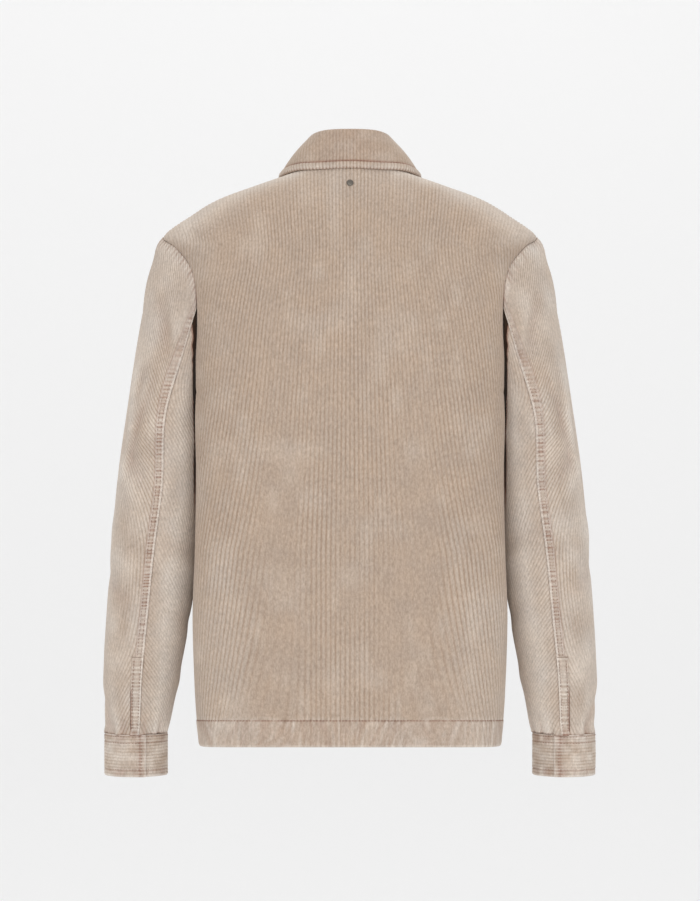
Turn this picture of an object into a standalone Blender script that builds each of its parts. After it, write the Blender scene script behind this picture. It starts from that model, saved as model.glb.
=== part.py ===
"""Corduroy shirt jacket, filled out as it is worn, with no wearer inside.

Metres. +X is the wearer's right, +Y the wearer's front, +Z up. The origin lies between the shoulders, at the
height where the collar's edge meets the shoulder line.
"""

import bmesh
import bpy
import numpy as np
from mathutils import Vector

# Cloth and making up
CLOTH = 0.0018  # corduroy, with its pile
DOUBLE = 0.0030  # two layers sewn together: collar and cuffs
STRIP = 0.0015  # a placket strip, pressed flat
SEAM_GAP = 0.0003  # between two pieces that are sewn together
SEAM_SLACK = 0.00005  # on each side of that gap, for facets that don't quite match
ARM_EASE = 0.0016  # more room round the armhole, where two walls meet at an angle
NECK_EASE = 0.0006  # more room under the stand where the neck line curves most, in front
CROWN_EASE = 0.0008  # more room at the top of the sleeve, where it turns over the shoulder
HEM_DEPTH = 0.030  # the turned-up hem
HEM_EXTRA = 0.0012  # what the turned-up layer adds to the wall
FRONT_LAP = 0.018  # how far each front runs past the centre
LAP_EASE = 0.050  # where the upper front starts to rise over the lower one

# Buttons and the stud
BUTTON_RADIUS = 0.0085
BUTTON_THICK = 0.0028
BUTTON_TOP = -0.130
BUTTON_STEP = 0.098
BUTTON_COUNT = 6
STUD_RADIUS = 0.0042
STUD_THICK = 0.0016
STUD_BELOW_NECK = 0.026  # along the centre of the back, under the neck seam

# Sections of the body, hem to neck. edge is where back and front meet: the side seam, then the two sides of
# the armhole, then the shoulder seam. tuck is how far the side turns in under the arm, and curl the share of a
# quarter turn that a section makes before it ends at its edge.
BODY_COLUMNS = (
    "edge_z", "back_edge_x", "back_edge_y", "front_edge_x", "front_edge_y", "tuck",
    "back_z", "back_depth", "front_z", "front_depth", "fullness", "curl",
)
BODY = {
    "hem":       (-0.679, 0.1815, 0.000, 0.1815, 0.000, 0.0005, -0.679, 0.1240, -0.680, 0.1180, 3.5, 1.00),
    "low hip":   (-0.621, 0.1870, 0.000, 0.1870, 0.000, 0.0010, -0.621, 0.1210, -0.622, 0.1170, 3.3, 1.00),
    "hip":       (-0.530, 0.1930, 0.000, 0.1930, 0.000, 0.0060, -0.530, 0.1180, -0.532, 0.1160, 3.2, 1.00),
    "waist":     (-0.450, 0.1925, 0.000, 0.1925, 0.000, 0.0130, -0.450, 0.1180, -0.451, 0.1170, 3.3, 1.00),
    "ribs":      (-0.370, 0.1915, 0.000, 0.1915, 0.000, 0.0190, -0.370, 0.1210, -0.371, 0.1200, 3.4, 1.00),
    "chest":     (-0.300, 0.1930, 0.000, 0.1930, 0.000, 0.0260, -0.300, 0.1250, -0.300, 0.1240, 3.5, 1.00),
    "armpit":    (-0.265, 0.1927, 0.000, 0.1927, 0.000, 0.0280, -0.267, 0.1270, -0.268, 0.1250, 3.4, 1.00),
    "arm low":   (-0.249, 0.1925, -0.038, 0.1896, 0.036, 0.0240, -0.243, 0.1280, -0.249, 0.1245, 3.2, 0.95),
    "arm mid":   (-0.205, 0.1840, -0.064, 0.1808, 0.056, 0.0100, -0.203, 0.1280, -0.219, 0.1220, 3.1, 0.90),
    "arm back":  (-0.150, 0.1830, -0.073, 0.1720, 0.064, 0.0020, -0.154, 0.1245, -0.186, 0.1170, 2.8, 0.84),
    "arm high":  (-0.114, 0.1895, -0.062, 0.1815, 0.057, 0.0000, -0.121, 0.1180, -0.162, 0.1120, 2.6, 0.80),
    "arm top":   (-0.088, 0.2090, -0.036, 0.2040, 0.034, 0.0000, -0.094, 0.1115, -0.144, 0.1075, 2.5, 0.84),
    "tip":       (-0.073, 0.2255, 0.000, 0.2255, 0.000, 0.0000, -0.071, 0.1040, -0.128, 0.1030, 2.4, 0.97),
    "shoulder":  (-0.052, 0.1990, 0.000, 0.1990, 0.000, 0.0000, -0.047, 0.0950, -0.112, 0.0970, 2.4, 1.00),
    "mid":       (-0.030, 0.1627, 0.000, 0.1627, 0.000, 0.0000, -0.023, 0.0840, -0.098, 0.0905, 2.4, 1.00),
    "near neck": (-0.013, 0.1170, 0.000, 0.1170, 0.000, 0.0000, -0.004, 0.0750, -0.087, 0.0845, 2.3, 1.00),
    "neck":      (0.001, 0.0740, 0.000, 0.0740, 0.000, 0.0000, 0.012, 0.0660, -0.077, 0.0790, 2.2, 1.00),
}
BODY_NAMES = list(BODY)
TUCK_REACH = 0.045  # how far fore and aft of the side seam the tuck under the arm fades

# Level sections of a sleeve under the armhole, then of the cuff. turn is how far a section is twisted, in degrees.
SLEEVE_COLUMNS = ("z", "outer_x", "inner_x", "centre_y", "half_depth", "turn")
SLEEVE = {
    "under arm": (-0.290, 0.2705, 0.1760, 0.000, 0.0700, 7.0),
    "upper arm": (-0.370, 0.2815, 0.1790, 0.003, 0.0640, 10.0),
    "elbow":     (-0.450, 0.2890, 0.1850, 0.008, 0.0590, 5.5),
    "forearm":   (-0.530, 0.2955, 0.1935, 0.014, 0.0550, 4.5),
    "lower arm": (-0.600, 0.2995, 0.2070, 0.020, 0.0500, 6.5),
    "gather":    (-0.650, 0.2980, 0.2165, 0.024, 0.0440, 8.5),
    "cuff seam": (-0.6735, 0.2955, 0.2220, 0.026, 0.0370, 8.5),
}
CUFF_TOP = -0.674
CUFF_BOTTOM = -0.725
CAP_REACH = 0.42  # how far down from the armhole the cap's middle section lies
CAP_SWELL = 0.0060  # how far the cap stands out past a straight line
CAP_CROWN = 0.0045  # how far it stands out more, between there and the armhole

# Angles round a sleeve, in degrees: 0 is outside, 90 the back, 180 inside, 270 the front.
BACK_SEAM = 88.0
PLACKET_FROM = 72.0
PLACKET_TOP = -0.578
PLACKET_BOTTOM = -0.6715
CUFF_UNDER_END = 57.5
CUFF_UPPER_END = 100.5
CUFF_RISE_FROM = 200.0  # the cuff starts to rise over its own under end here
CUFF_RISE_TO = 385.0

# The collar, by angle from the centre of the back: neck seam to roll is the stand, roll to edge the leaf.
COLLAR_COLUMNS = ("angle", "roll_x", "roll_y", "roll_z", "edge_x", "edge_y", "edge_clear")
COLLAR = {
    "back":       (0.0, 0.0000, -0.0600, 0.0465, 0.0000, -0.0710, 0.0012),
    "back side":  (42.0, 0.0325, -0.0490, 0.0455, 0.0505, -0.0622, 0.0012),
    "side":       (84.0, 0.0475, -0.0060, 0.0370, 0.0815, -0.0230, 0.0008),
    "front side": (125.0, 0.0430, 0.0420, 0.0100, 0.0845, 0.0380, 0.0015),
    "point":      (160.0, 0.0190, 0.0700, -0.0250, 0.0640, 0.0840, 0.0020),
    "front":      (176.0, 0.0050, 0.0765, -0.0390, 0.0480, 0.0920, 0.0020),
}
ROLL_RADIUS = 0.0015  # inside of the fold where the leaf turns over the stand
LEAF_BELLY = 0.0008  # how far the leaf swells between the roll and its edge

# How finely the pieces are faceted
BACK_COLUMNS, FRONT_COLUMNS = 20, 10
SIDE_ROWS, SHOULDER_ROWS = 8, 4
ABOVE_SEAM, BELOW_SEAM = 4, 4  # columns of a sleeve from its top to the back seam, and from there to the armpit
FRONT_SEAM_COLUMN = 5  # the column, counted down the front, that the front seam follows
CAP_ROWS, ARM_ROWS = 6, 10
CUFF_COLUMNS, COLLAR_STEPS = 24, 24
ROLL_TURNS = (180.0, 130.0, 90.0, 45.0, 0.0)  # degrees over the fold, from the stand to the leaf
LEAF_SHARES = (0.33, 0.67, 1.0)  # down the leaf, from the fold to its edge
FINE = 181  # points used to space columns evenly along a section
SHARP_FROM = 40.0  # degrees
MIRROR = np.array([-1.0, 1.0, 1.0])

COLOURS = {"corduroy": (0.49, 0.39, 0.30), "horn": (0.24, 0.17, 0.12), "nickel": (0.30, 0.29, 0.27)}


def eased(value):
    """0 to 1, level at both ends."""
    t = np.clip(value, 0.0, 1.0)
    return t * t * (3.0 - 2.0 * t)


def through(knots, values, at):
    """A smooth curve through values at the knots, read at the places in at."""
    knots = np.asarray(knots, float)
    values = np.asarray(values, float)
    slopes = np.gradient(values, knots, axis=0)
    at = np.atleast_1d(np.asarray(at, float))
    i = np.clip(np.searchsorted(knots, at, side="right") - 1, 0, len(knots) - 2)
    shape = (-1,) + (1,) * (values.ndim - 1)
    span = (knots[i + 1] - knots[i]).reshape(shape)
    t = ((at - knots[i]) / (knots[i + 1] - knots[i])).reshape(shape)
    return (
        (2 * t**3 - 3 * t**2 + 1) * values[i]
        + (t**3 - 2 * t**2 + t) * span * slopes[i]
        + (3 * t**2 - 2 * t**3) * values[i + 1]
        + (t**3 - t**2) * span * slopes[i + 1]
    )


def unit(vectors):
    return vectors / np.maximum(np.linalg.norm(vectors, axis=-1, keepdims=True), 1e-12)


def outward(grid):
    """Normals of a grid of points whose columns run to the right, seen from outside, and whose rows run up."""
    return unit(np.cross(np.gradient(grid, axis=1), np.gradient(grid, axis=0)))


def evenly(points, shares):
    """The points at these shares of a line's length."""
    length = np.r_[0.0, np.cumsum(np.linalg.norm(np.diff(points, axis=0), axis=1))]
    at = np.asarray(shares) * length[-1]
    return np.stack([np.interp(at, length, points[:, k]) for k in range(3)], axis=1)


# The body

def body_row(level):
    """The named sizes of the body's section at a level, counted in rows of the table."""
    row = through(range(len(BODY)), list(BODY.values()), [level])[0]
    return dict(zip(BODY_COLUMNS, row))


def on_armhole(level):
    """Whether a section at this level ends at the armhole."""
    return BODY_NAMES.index("armpit") < level < BODY_NAMES.index("tip")


def tucked(x, y, size):
    """x drawn in towards the side seam under the arm."""
    return x - size["tuck"] * np.exp(-((y / TUCK_REACH) ** 2))


def half_section(level, side):
    """Half a section from the centre of the back (side -1) or front (side 1) to its edge, on the wearer's right."""
    size = body_row(level)
    part = "back" if side < 0 else "front"
    depth, edge_y = size[part + "_depth"], abs(size[part + "_edge_y"])
    turn = np.linspace(0.0, min(size["curl"], 1.0), FINE) * np.pi / 2
    power = 2.0 / size["fullness"]
    across = np.sin(turn) ** power
    across /= across[-1]
    around = 1.0 - np.cos(turn).clip(0.0) ** power
    around /= around[-1]
    y = depth + (edge_y - depth) * around
    x = tucked(size[part + "_edge_x"] * across, y, size)
    x[0] = 0.0
    z = size[part + "_z"] + (size["edge_z"] - size[part + "_z"]) * across**2
    return np.stack([x, side * y, z], axis=1)


def armhole_length(part):
    """Levels from the shoulder tip down to the armpit, and the share of the armhole's back or front at each."""
    levels = np.linspace(BODY_NAMES.index("tip"), BODY_NAMES.index("armpit"), FINE)
    rows = [body_row(level) for level in levels]
    line = []
    for size in rows:
        x, y = size[part + "_edge_x"], size[part + "_edge_y"]
        line.append((tucked(x, y, size), y, size["edge_z"]))
    line = np.array(line)
    length = np.r_[0.0, np.cumsum(np.linalg.norm(np.diff(line, axis=0), axis=1))]
    return levels, length / length[-1], line


def arm_levels():
    """Levels of the armhole, tip to armpit, one at each column of the sleeve. The back seam is one of them."""
    angles = np.r_[np.linspace(0.0, BACK_SEAM, ABOVE_SEAM + 1), np.linspace(BACK_SEAM, 180.0, BELOW_SEAM + 1)[1:]]
    levels, share, _ = armhole_length("back")
    return np.interp(angles / 180.0, share, levels)


def sleeve_angles(part):
    """Angles of a sleeve's columns from the tip to the armpit, down the back or down the front."""
    levels, share, _ = armhole_length(part)
    turn = 180.0 * np.interp(-arm_levels(), -levels, share)
    return turn if part == "back" else 360.0 - turn


def body_levels():
    """Levels from hem to neck, one on the hem's stitching and one at each column of the sleeve."""
    stitched = HEM_DEPTH / (BODY["low hip"][0] - BODY["hem"][0])
    side = np.linspace(stitched, BODY_NAMES.index("armpit"), SIDE_ROWS + 1)
    shoulder = np.linspace(BODY_NAMES.index("tip"), len(BODY) - 1, SHOULDER_ROWS + 1)
    return np.r_[0.0, side, arm_levels()[-2::-1], shoulder[1:]]


def back_grid(shares):
    """The back's outer face. A share runs from -1, the left edge, to 1, the right one."""
    rows = []
    for level in body_levels():
        half = evenly(half_section(level, -1), np.abs(shares))
        half[:, 0] *= np.sign(shares)
        rows.append(half)
    return np.array(rows)


def front_grid(columns, over):
    """A front's outer face on the wearer's right, from past the centre to its edge. over lifts the upper one."""
    rows = []
    for level in body_levels():
        line = half_section(level, 1)
        line = np.vstack([line[:0:-1] * MIRROR, line])
        line = line[line[:, 0] >= -FRONT_LAP]
        row = evenly(line, np.linspace(0.0, 1.0, columns + 1))
        row[:, 1] += over * eased((FRONT_LAP + LAP_EASE - row[:, 0]) / LAP_EASE)
        rows.append(row)
    return np.array(rows)


def body_normals(grid):
    """Normals of a body panel, square to the seams where back and front run on into each other."""
    n = outward(grid)
    seam = np.array([not on_armhole(level) for level in body_levels()])
    for column in (0, -1):
        if abs(grid[0, column, 0]) > BODY["hem"][1] / 2:
            n[seam, column, 1] = 0.0
    return unit(n)


# Sleeves, on the wearer's right

def armhole_points(angles):
    """Points of the armhole at angles round the sleeve: down the back to the armpit, then up the front."""
    turn = np.mod(angles, 360.0)
    on_back = evenly(armhole_length("back")[2], np.clip(turn / 180.0, 0.0, 1.0))
    on_front = evenly(armhole_length("front")[2], np.clip(2.0 - turn / 180.0, 0.0, 1.0))
    return np.where((turn <= 180.0)[:, None], on_back, on_front)


def level_ring(section, angles):
    """A level oval ring of a sleeve or cuff."""
    size = dict(zip(SLEEVE_COLUMNS, section))
    turn = np.radians(angles + size["turn"])
    middle = (size["outer_x"] + size["inner_x"]) / 2
    half = (size["outer_x"] - size["inner_x"]) / 2
    x = middle + half * np.cos(turn)
    y = size["centre_y"] - size["half_depth"] * np.sin(turn)
    return np.stack([x, y, np.full_like(x, size["z"])], axis=1)


def sleeve_knots(angles):
    """Rings that a sleeve runs through: armhole, cap, then each level section."""
    rings = [level_ring(section, angles) for section in SLEEVE.values()]
    top = armhole_points(angles)
    cap = top + (rings[0] - top) * CAP_REACH
    cap[:, 0] += CAP_SWELL * np.cos(np.radians(angles)).clip(0.0)
    return np.array([top, cap, *rings])


def sleeve_grid(angles, along):
    """A sleeve's outer face. along runs from 0, the armhole, to the number of the last ring."""
    angles = np.asarray(angles, float)
    knots = sleeve_knots(angles)
    grid = through(range(len(knots)), knots, along)
    crown = np.sin(np.pi * np.clip(along, 0.0, 1.0))
    grid[:, :, 0] += CAP_CROWN * crown[:, None] * np.cos(np.radians(angles)).clip(0.0)
    return grid


def sleeve_normals(angles, along):
    """Normals of a sleeve's outer face, the same for both panels at a seam."""
    step = 0.5
    angles = np.asarray(angles, float)
    round_it = sleeve_grid(angles + step, along) - sleeve_grid(angles - step, along)
    down_it = np.gradient(sleeve_grid(angles, along), axis=0)
    return unit(np.cross(round_it, down_it))


SLEEVE_END = len(SLEEVE) + 1


# Walls

def hem_thickness(grid, cloth):
    """Wall thickness of a body panel: two layers in the turned-up hem."""
    thick = np.full(grid.shape[:2], cloth)
    thick[grid[:, :, 2] < BODY["hem"][0] + HEM_DEPTH - 0.001] += HEM_EXTRA
    return thick[:, :, None]


def set_back(outer, inner, edges, extra=0.0):
    """Pulls seam edges back, square to the seam, so that two sewn pieces lie a gap apart."""
    for axis, end in edges:
        edge = [slice(None)] * 2
        beside = [slice(None)] * 2
        edge[axis] = end
        beside[axis] = 1 if end == 0 else -2
        edge, beside = tuple(edge), tuple(beside)
        seam = unit(np.gradient(outer[edge], axis=0))
        way = outer[beside] - outer[edge]
        way = unit(way - seam * np.sum(way * seam, axis=1, keepdims=True))
        move = way * (SEAM_GAP / 2 + SEAM_SLACK + extra)
        outer[edge] += move
        inner[edge] += move


def wall(name, outer, inner, material):
    """A closed solid between an outer and an inner skin, lofted row by row."""
    rows, columns = outer.shape[:2]
    points = np.concatenate([outer.reshape(-1, 3), inner.reshape(-1, 3)])
    count = rows * columns
    faces = []
    for r in range(rows - 1):
        for c in range(columns - 1):
            a = r * columns + c
            b, d, e = a + 1, a + columns + 1, a + columns
            faces += [(a, b, d, e), (a + count, e + count, d + count, b + count)]
    rim = list(range(columns))
    rim += [r * columns + columns - 1 for r in range(1, rows)]
    rim += [(rows - 1) * columns + c for c in range(columns - 2, -1, -1)]
    rim += [r * columns for r in range(rows - 2, 0, -1)]
    for a, b in zip(rim, rim[1:] + rim[:1]):
        faces.append((b, a, a + count, b + count))
    mesh = bpy.data.meshes.new(name)
    mesh.from_pydata(points.tolist(), [], faces)
    turned = bmesh.new()
    turned.from_mesh(mesh)
    bmesh.ops.recalc_face_normals(turned, faces=turned.faces)
    turned.to_mesh(mesh)
    turned.free()
    mesh.materials.append(material)
    smooth(mesh)
    jacket.objects.link(bpy.data.objects.new(name, mesh))


def smooth(mesh):
    """Smooth over gentle turns, sharp at rims."""
    mesh.shade_smooth()
    mesh.set_sharp_from_angle(angle=np.radians(SHARP_FROM))


def mirrored(grid):
    return grid[:, ::-1] * MIRROR


def both_sides(name, outer, inner, material):
    """The same piece on the wearer's right and left."""
    wall(name + "_right", outer, inner, material)
    wall(name + "_left", mirrored(outer), mirrored(inner), material)


# Pieces

def make_material(name, colour, roughness, metallic):
    material = bpy.data.materials.new(name)
    material.use_nodes = True
    shader = material.node_tree.nodes["Principled BSDF"]
    shader.inputs["Base Color"].default_value = (*colour, 1.0)
    shader.inputs["Roughness"].default_value = roughness
    shader.inputs["Metallic"].default_value = metallic
    return material


def make_back():
    outer = back_grid(np.linspace(-1.0, 1.0, BACK_COLUMNS + 1))
    inner = outer - body_normals(outer) * hem_thickness(outer, CLOTH)
    set_back(outer, inner, [(1, 0), (1, -1), (0, -1)])
    wall("back", outer, inner, corduroy)
    return outer


def make_fronts():
    lift = CLOTH + HEM_EXTRA + 3 * SEAM_GAP
    grids = {}
    for side, over in (("right", 0.0), ("left", lift)):
        outer = front_grid(FRONT_COLUMNS, over)[:, ::-1]
        inner = outer - body_normals(outer) * hem_thickness(outer, CLOTH)
        set_back(outer, inner, [(1, 0), (0, -1)])
        if side == "left":
            outer, inner = mirrored(outer), mirrored(inner)
        wall("front_" + side, outer, inner, corduroy)
        grids[side] = outer
    return grids


def make_sleeves():
    along = np.r_[np.linspace(0.0, 2.0, CAP_ROWS + 1), np.linspace(2.0, SLEEVE_END, ARM_ROWS + 1)[1:]]
    back, front = sleeve_angles("back"), sleeve_angles("front")
    spans = {
        "sleeve_top": np.r_[front[FRONT_SEAM_COLUMN:0:-1] - 360.0, back[:ABOVE_SEAM + 1]],
        "sleeve_under": np.r_[back[ABOVE_SEAM:], front[-2:FRONT_SEAM_COLUMN - 1:-1]],
    }
    for name, angles in spans.items():
        outer = sleeve_grid(angles, along)
        inner = outer - sleeve_normals(angles, along) * CLOTH
        crown = ARM_EASE + CROWN_EASE * np.cos(np.radians(angles)).clip(0.0)[:, None]
        set_back(outer, inner, [(0, 0)], crown)
        set_back(outer, inner, [(1, 0), (1, -1), (0, -1)])
        both_sides(name, outer, inner, corduroy)


def make_plackets():
    angles = np.linspace(PLACKET_FROM, BACK_SEAM, 4)
    fine = np.linspace(SLEEVE_END - 3, SLEEVE_END, FINE)
    heights = sleeve_grid([BACK_SEAM], fine)[:, 0, 2]
    top, bottom = np.interp([-PLACKET_TOP, -PLACKET_BOTTOM], -heights, fine)
    along = np.linspace(top, bottom, 9)
    base = sleeve_grid(angles, along)
    n = sleeve_normals(angles, along)
    both_sides("placket", base + n * (SEAM_GAP + STRIP), base + n * SEAM_GAP, corduroy)


def make_cuffs():
    angles = np.linspace(CUFF_UNDER_END, 360.0 + CUFF_UPPER_END, CUFF_COLUMNS + 1)
    size = dict(zip(SLEEVE_COLUMNS, SLEEVE["cuff seam"]))
    rows = []
    for z in np.linspace(CUFF_TOP, CUFF_BOTTOM, 3):
        rows.append(level_ring((z, *list(size.values())[1:]), angles))
    outer = np.array(rows)
    n = outward(outer)
    share = (angles - CUFF_RISE_FROM) / (CUFF_RISE_TO - CUFF_RISE_FROM)
    outer = outer + n * ((DOUBLE + 2 * SEAM_GAP) * eased(share))[None, :, None]
    both_sides("cuff", outer, outer - n * DOUBLE, corduroy)


def collar_lines(steps):
    """Neck seam, roll and edge lines from the left end round the back to the right end."""
    angles = np.linspace(-COLLAR["front"][0], COLLAR["front"][0], steps + 1)
    table = np.array(list(COLLAR.values()))
    other_half = table[:0:-1] * np.array([-1.0, -1.0, 1.0, 1.0, -1.0, 1.0, 1.0])
    table = np.vstack([other_half, table])
    sizes = through(table[:, 0], table[:, 1:], angles)
    side = np.where(angles < 0.0, -1.0, 1.0)
    top = len(BODY) - 1
    back = half_section(top, -1)
    front = half_section(top, 1)[::-1]
    ring = np.vstack([back, front[1:]])
    neck = evenly(ring, np.abs(angles) / 180.0)
    neck[:, 0] *= side
    edge = np.array([on_body(abs(x), y, DOUBLE + clear) for x, y, clear in sizes[:, 3:]])
    edge[:, 0] *= side
    return neck, sizes[:, :3], edge


def on_body(x, y, off):
    """A point above the shoulder on the wearer's right, moved out from the cloth under it."""
    step = 0.002

    def height(at_x, at_y):
        radius, z = [], []
        for level in np.linspace(BODY_NAMES.index("arm top"), len(BODY) - 1, FINE // 4):
            line = half_section(level, -1 if at_y < 0.0 else 1)
            turn = np.arctan2(line[:, 0], np.abs(line[:, 1]))
            here = np.arctan2(at_x, abs(at_y))
            radius.append(np.interp(here, turn, np.hypot(line[:, 0], line[:, 1])))
            z.append(np.interp(here, turn, line[:, 2]))
        return np.interp(np.hypot(at_x, at_y), radius[::-1], z[::-1])

    z = height(x, y)
    slope_x = (height(x + step, y) - height(abs(x - step), y)) / (2 * step)
    slope_y = (height(x, y + step) - height(x, y - step)) / (2 * step)
    return np.array([x, y, z]) + unit(np.array([-slope_x, -slope_y, 1.0])) * off


def make_collar():
    neck, roll, edge = collar_lines(COLLAR_STEPS)
    up = unit(roll - neck)
    along = unit(np.gradient(roll, axis=0))
    out = unit(np.cross(along, up))
    seat = neck + up * (SEAM_GAP * 2 + NECK_EASE * eased(neck[:, 1:2] / body_row(len(BODY) - 1)["front_depth"]))
    stand = np.array([seat + (roll - seat) * share for share in (0.0, 0.5, 1.0)])
    wall("collar_stand", stand, stand - out * DOUBLE, corduroy)

    start = roll + up * SEAM_GAP * 3
    centre = start + out * ROLL_RADIUS
    outer, inner = [], []
    for turn in np.radians(ROLL_TURNS):
        spoke = out * np.cos(turn) + up * np.sin(turn)
        outer.append(centre + spoke * (ROLL_RADIUS + DOUBLE))
        inner.append(centre + spoke * ROLL_RADIUS)
    fall = edge - outer[-1]
    lift = unit(np.cross(unit(fall), along))
    for share in LEAF_SHARES:
        line = outer[len(ROLL_TURNS) - 1] + fall * share + lift * LEAF_BELLY * np.sin(np.pi * share)
        outer.append(line)
        inner.append(line - lift * DOUBLE)
    wall("collar_leaf", np.array(outer)[::-1], np.array(inner)[::-1], corduroy)


def disc(name, centre, axis, radius, thick, material, sides):
    """A round button or stud with softened rims, its under face a gap clear of the cloth."""
    bpy.ops.mesh.primitive_cylinder_add(vertices=sides, radius=radius, depth=thick)
    obj = bpy.context.object
    obj.name = obj.data.name = name
    for owner in list(obj.users_collection):
        owner.objects.unlink(obj)
    jacket.objects.link(obj)
    obj.rotation_mode = "QUATERNION"
    obj.rotation_quaternion = Vector(axis).to_track_quat("Z", "Y")
    obj.location = Vector(centre) + Vector(axis) * (SEAM_GAP * 2 + thick / 2)
    rim = obj.modifiers.new("Rim", "BEVEL")
    rim.width = thick * 0.3
    rim.segments = 2
    obj.data.materials.append(material)
    smooth(obj.data)


def height_on(line, z):
    """The point of a line of points that rises steadily, at this height."""
    order = np.argsort(line[:, 2])
    return np.array([np.interp(z, line[order, 2], line[order, k]) for k in range(3)])


def make_buttons(front_left):
    """Six plain buttons down the centre, on the upper front."""
    middle = []
    for row in front_left:
        row = row[np.argsort(row[:, 0])]
        middle.append([np.interp(0.0, row[:, 0], row[:, k]) for k in range(3)])
    middle = np.array(middle)
    for i in range(BUTTON_COUNT):
        z = BUTTON_TOP - i * BUTTON_STEP
        spot = height_on(middle, z)
        spot[1] = max(spot[1], height_on(middle, z + BUTTON_RADIUS)[1], height_on(middle, z - BUTTON_RADIUS)[1])
        disc(f"button_{i + 1}", spot, (0.0, 1.0, 0.0), BUTTON_RADIUS, BUTTON_THICK, horn, 16)


def make_stud(back):
    """A small plain stud on the back, under the collar."""
    middle = back[:, BACK_COLUMNS // 2]
    z = body_row(len(BODY) - 1)["back_z"] - STUD_BELOW_NECK
    spot = height_on(middle, z)
    slope = height_on(middle, z + STUD_RADIUS) - height_on(middle, z - STUD_RADIUS)
    axis = unit(np.array([0.0, -slope[2], slope[1]]))
    disc("neck_stud", spot, axis, STUD_RADIUS, STUD_THICK, nickel, 14)


for old in list(bpy.data.objects):
    bpy.data.objects.remove(old)
jacket = bpy.data.collections.new("corduroy_jacket")
bpy.context.scene.collection.children.link(jacket)
corduroy = make_material("corduroy", COLOURS["corduroy"], 0.9, 0.0)
horn = make_material("horn", COLOURS["horn"], 0.4, 0.0)
nickel = make_material("nickel", COLOURS["nickel"], 0.35, 1.0)

back_outer = make_back()
front_outer = make_fronts()
make_sleeves()
make_plackets()
make_cuffs()
make_collar()
make_buttons(front_outer["left"])
make_stud(back_outer)
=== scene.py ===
import bpy
import numpy as np
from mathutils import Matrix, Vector
from mathutils.geometry import delaunay_2d_cdt


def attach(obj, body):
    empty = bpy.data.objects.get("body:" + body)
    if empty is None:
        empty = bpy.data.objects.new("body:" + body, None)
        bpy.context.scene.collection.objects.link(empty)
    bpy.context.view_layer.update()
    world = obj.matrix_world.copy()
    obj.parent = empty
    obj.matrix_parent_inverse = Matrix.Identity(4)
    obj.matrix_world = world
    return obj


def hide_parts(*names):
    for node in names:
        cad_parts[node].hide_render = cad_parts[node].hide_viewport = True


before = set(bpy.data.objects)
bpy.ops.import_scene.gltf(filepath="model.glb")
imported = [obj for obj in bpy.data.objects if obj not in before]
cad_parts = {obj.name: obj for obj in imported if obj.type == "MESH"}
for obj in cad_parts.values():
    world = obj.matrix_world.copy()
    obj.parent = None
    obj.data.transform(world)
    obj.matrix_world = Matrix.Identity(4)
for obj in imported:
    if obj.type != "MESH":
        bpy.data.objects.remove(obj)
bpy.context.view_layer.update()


# Back. One panel of washed corduroy with its wales upright, from the neck seam to a hem that is turned up
# and stitched down. It is sewn to the fronts at the sides and shoulders, and to the sleeves at the
# armholes.

CLOTH = 0.0018  # corduroy, with its pile

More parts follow.
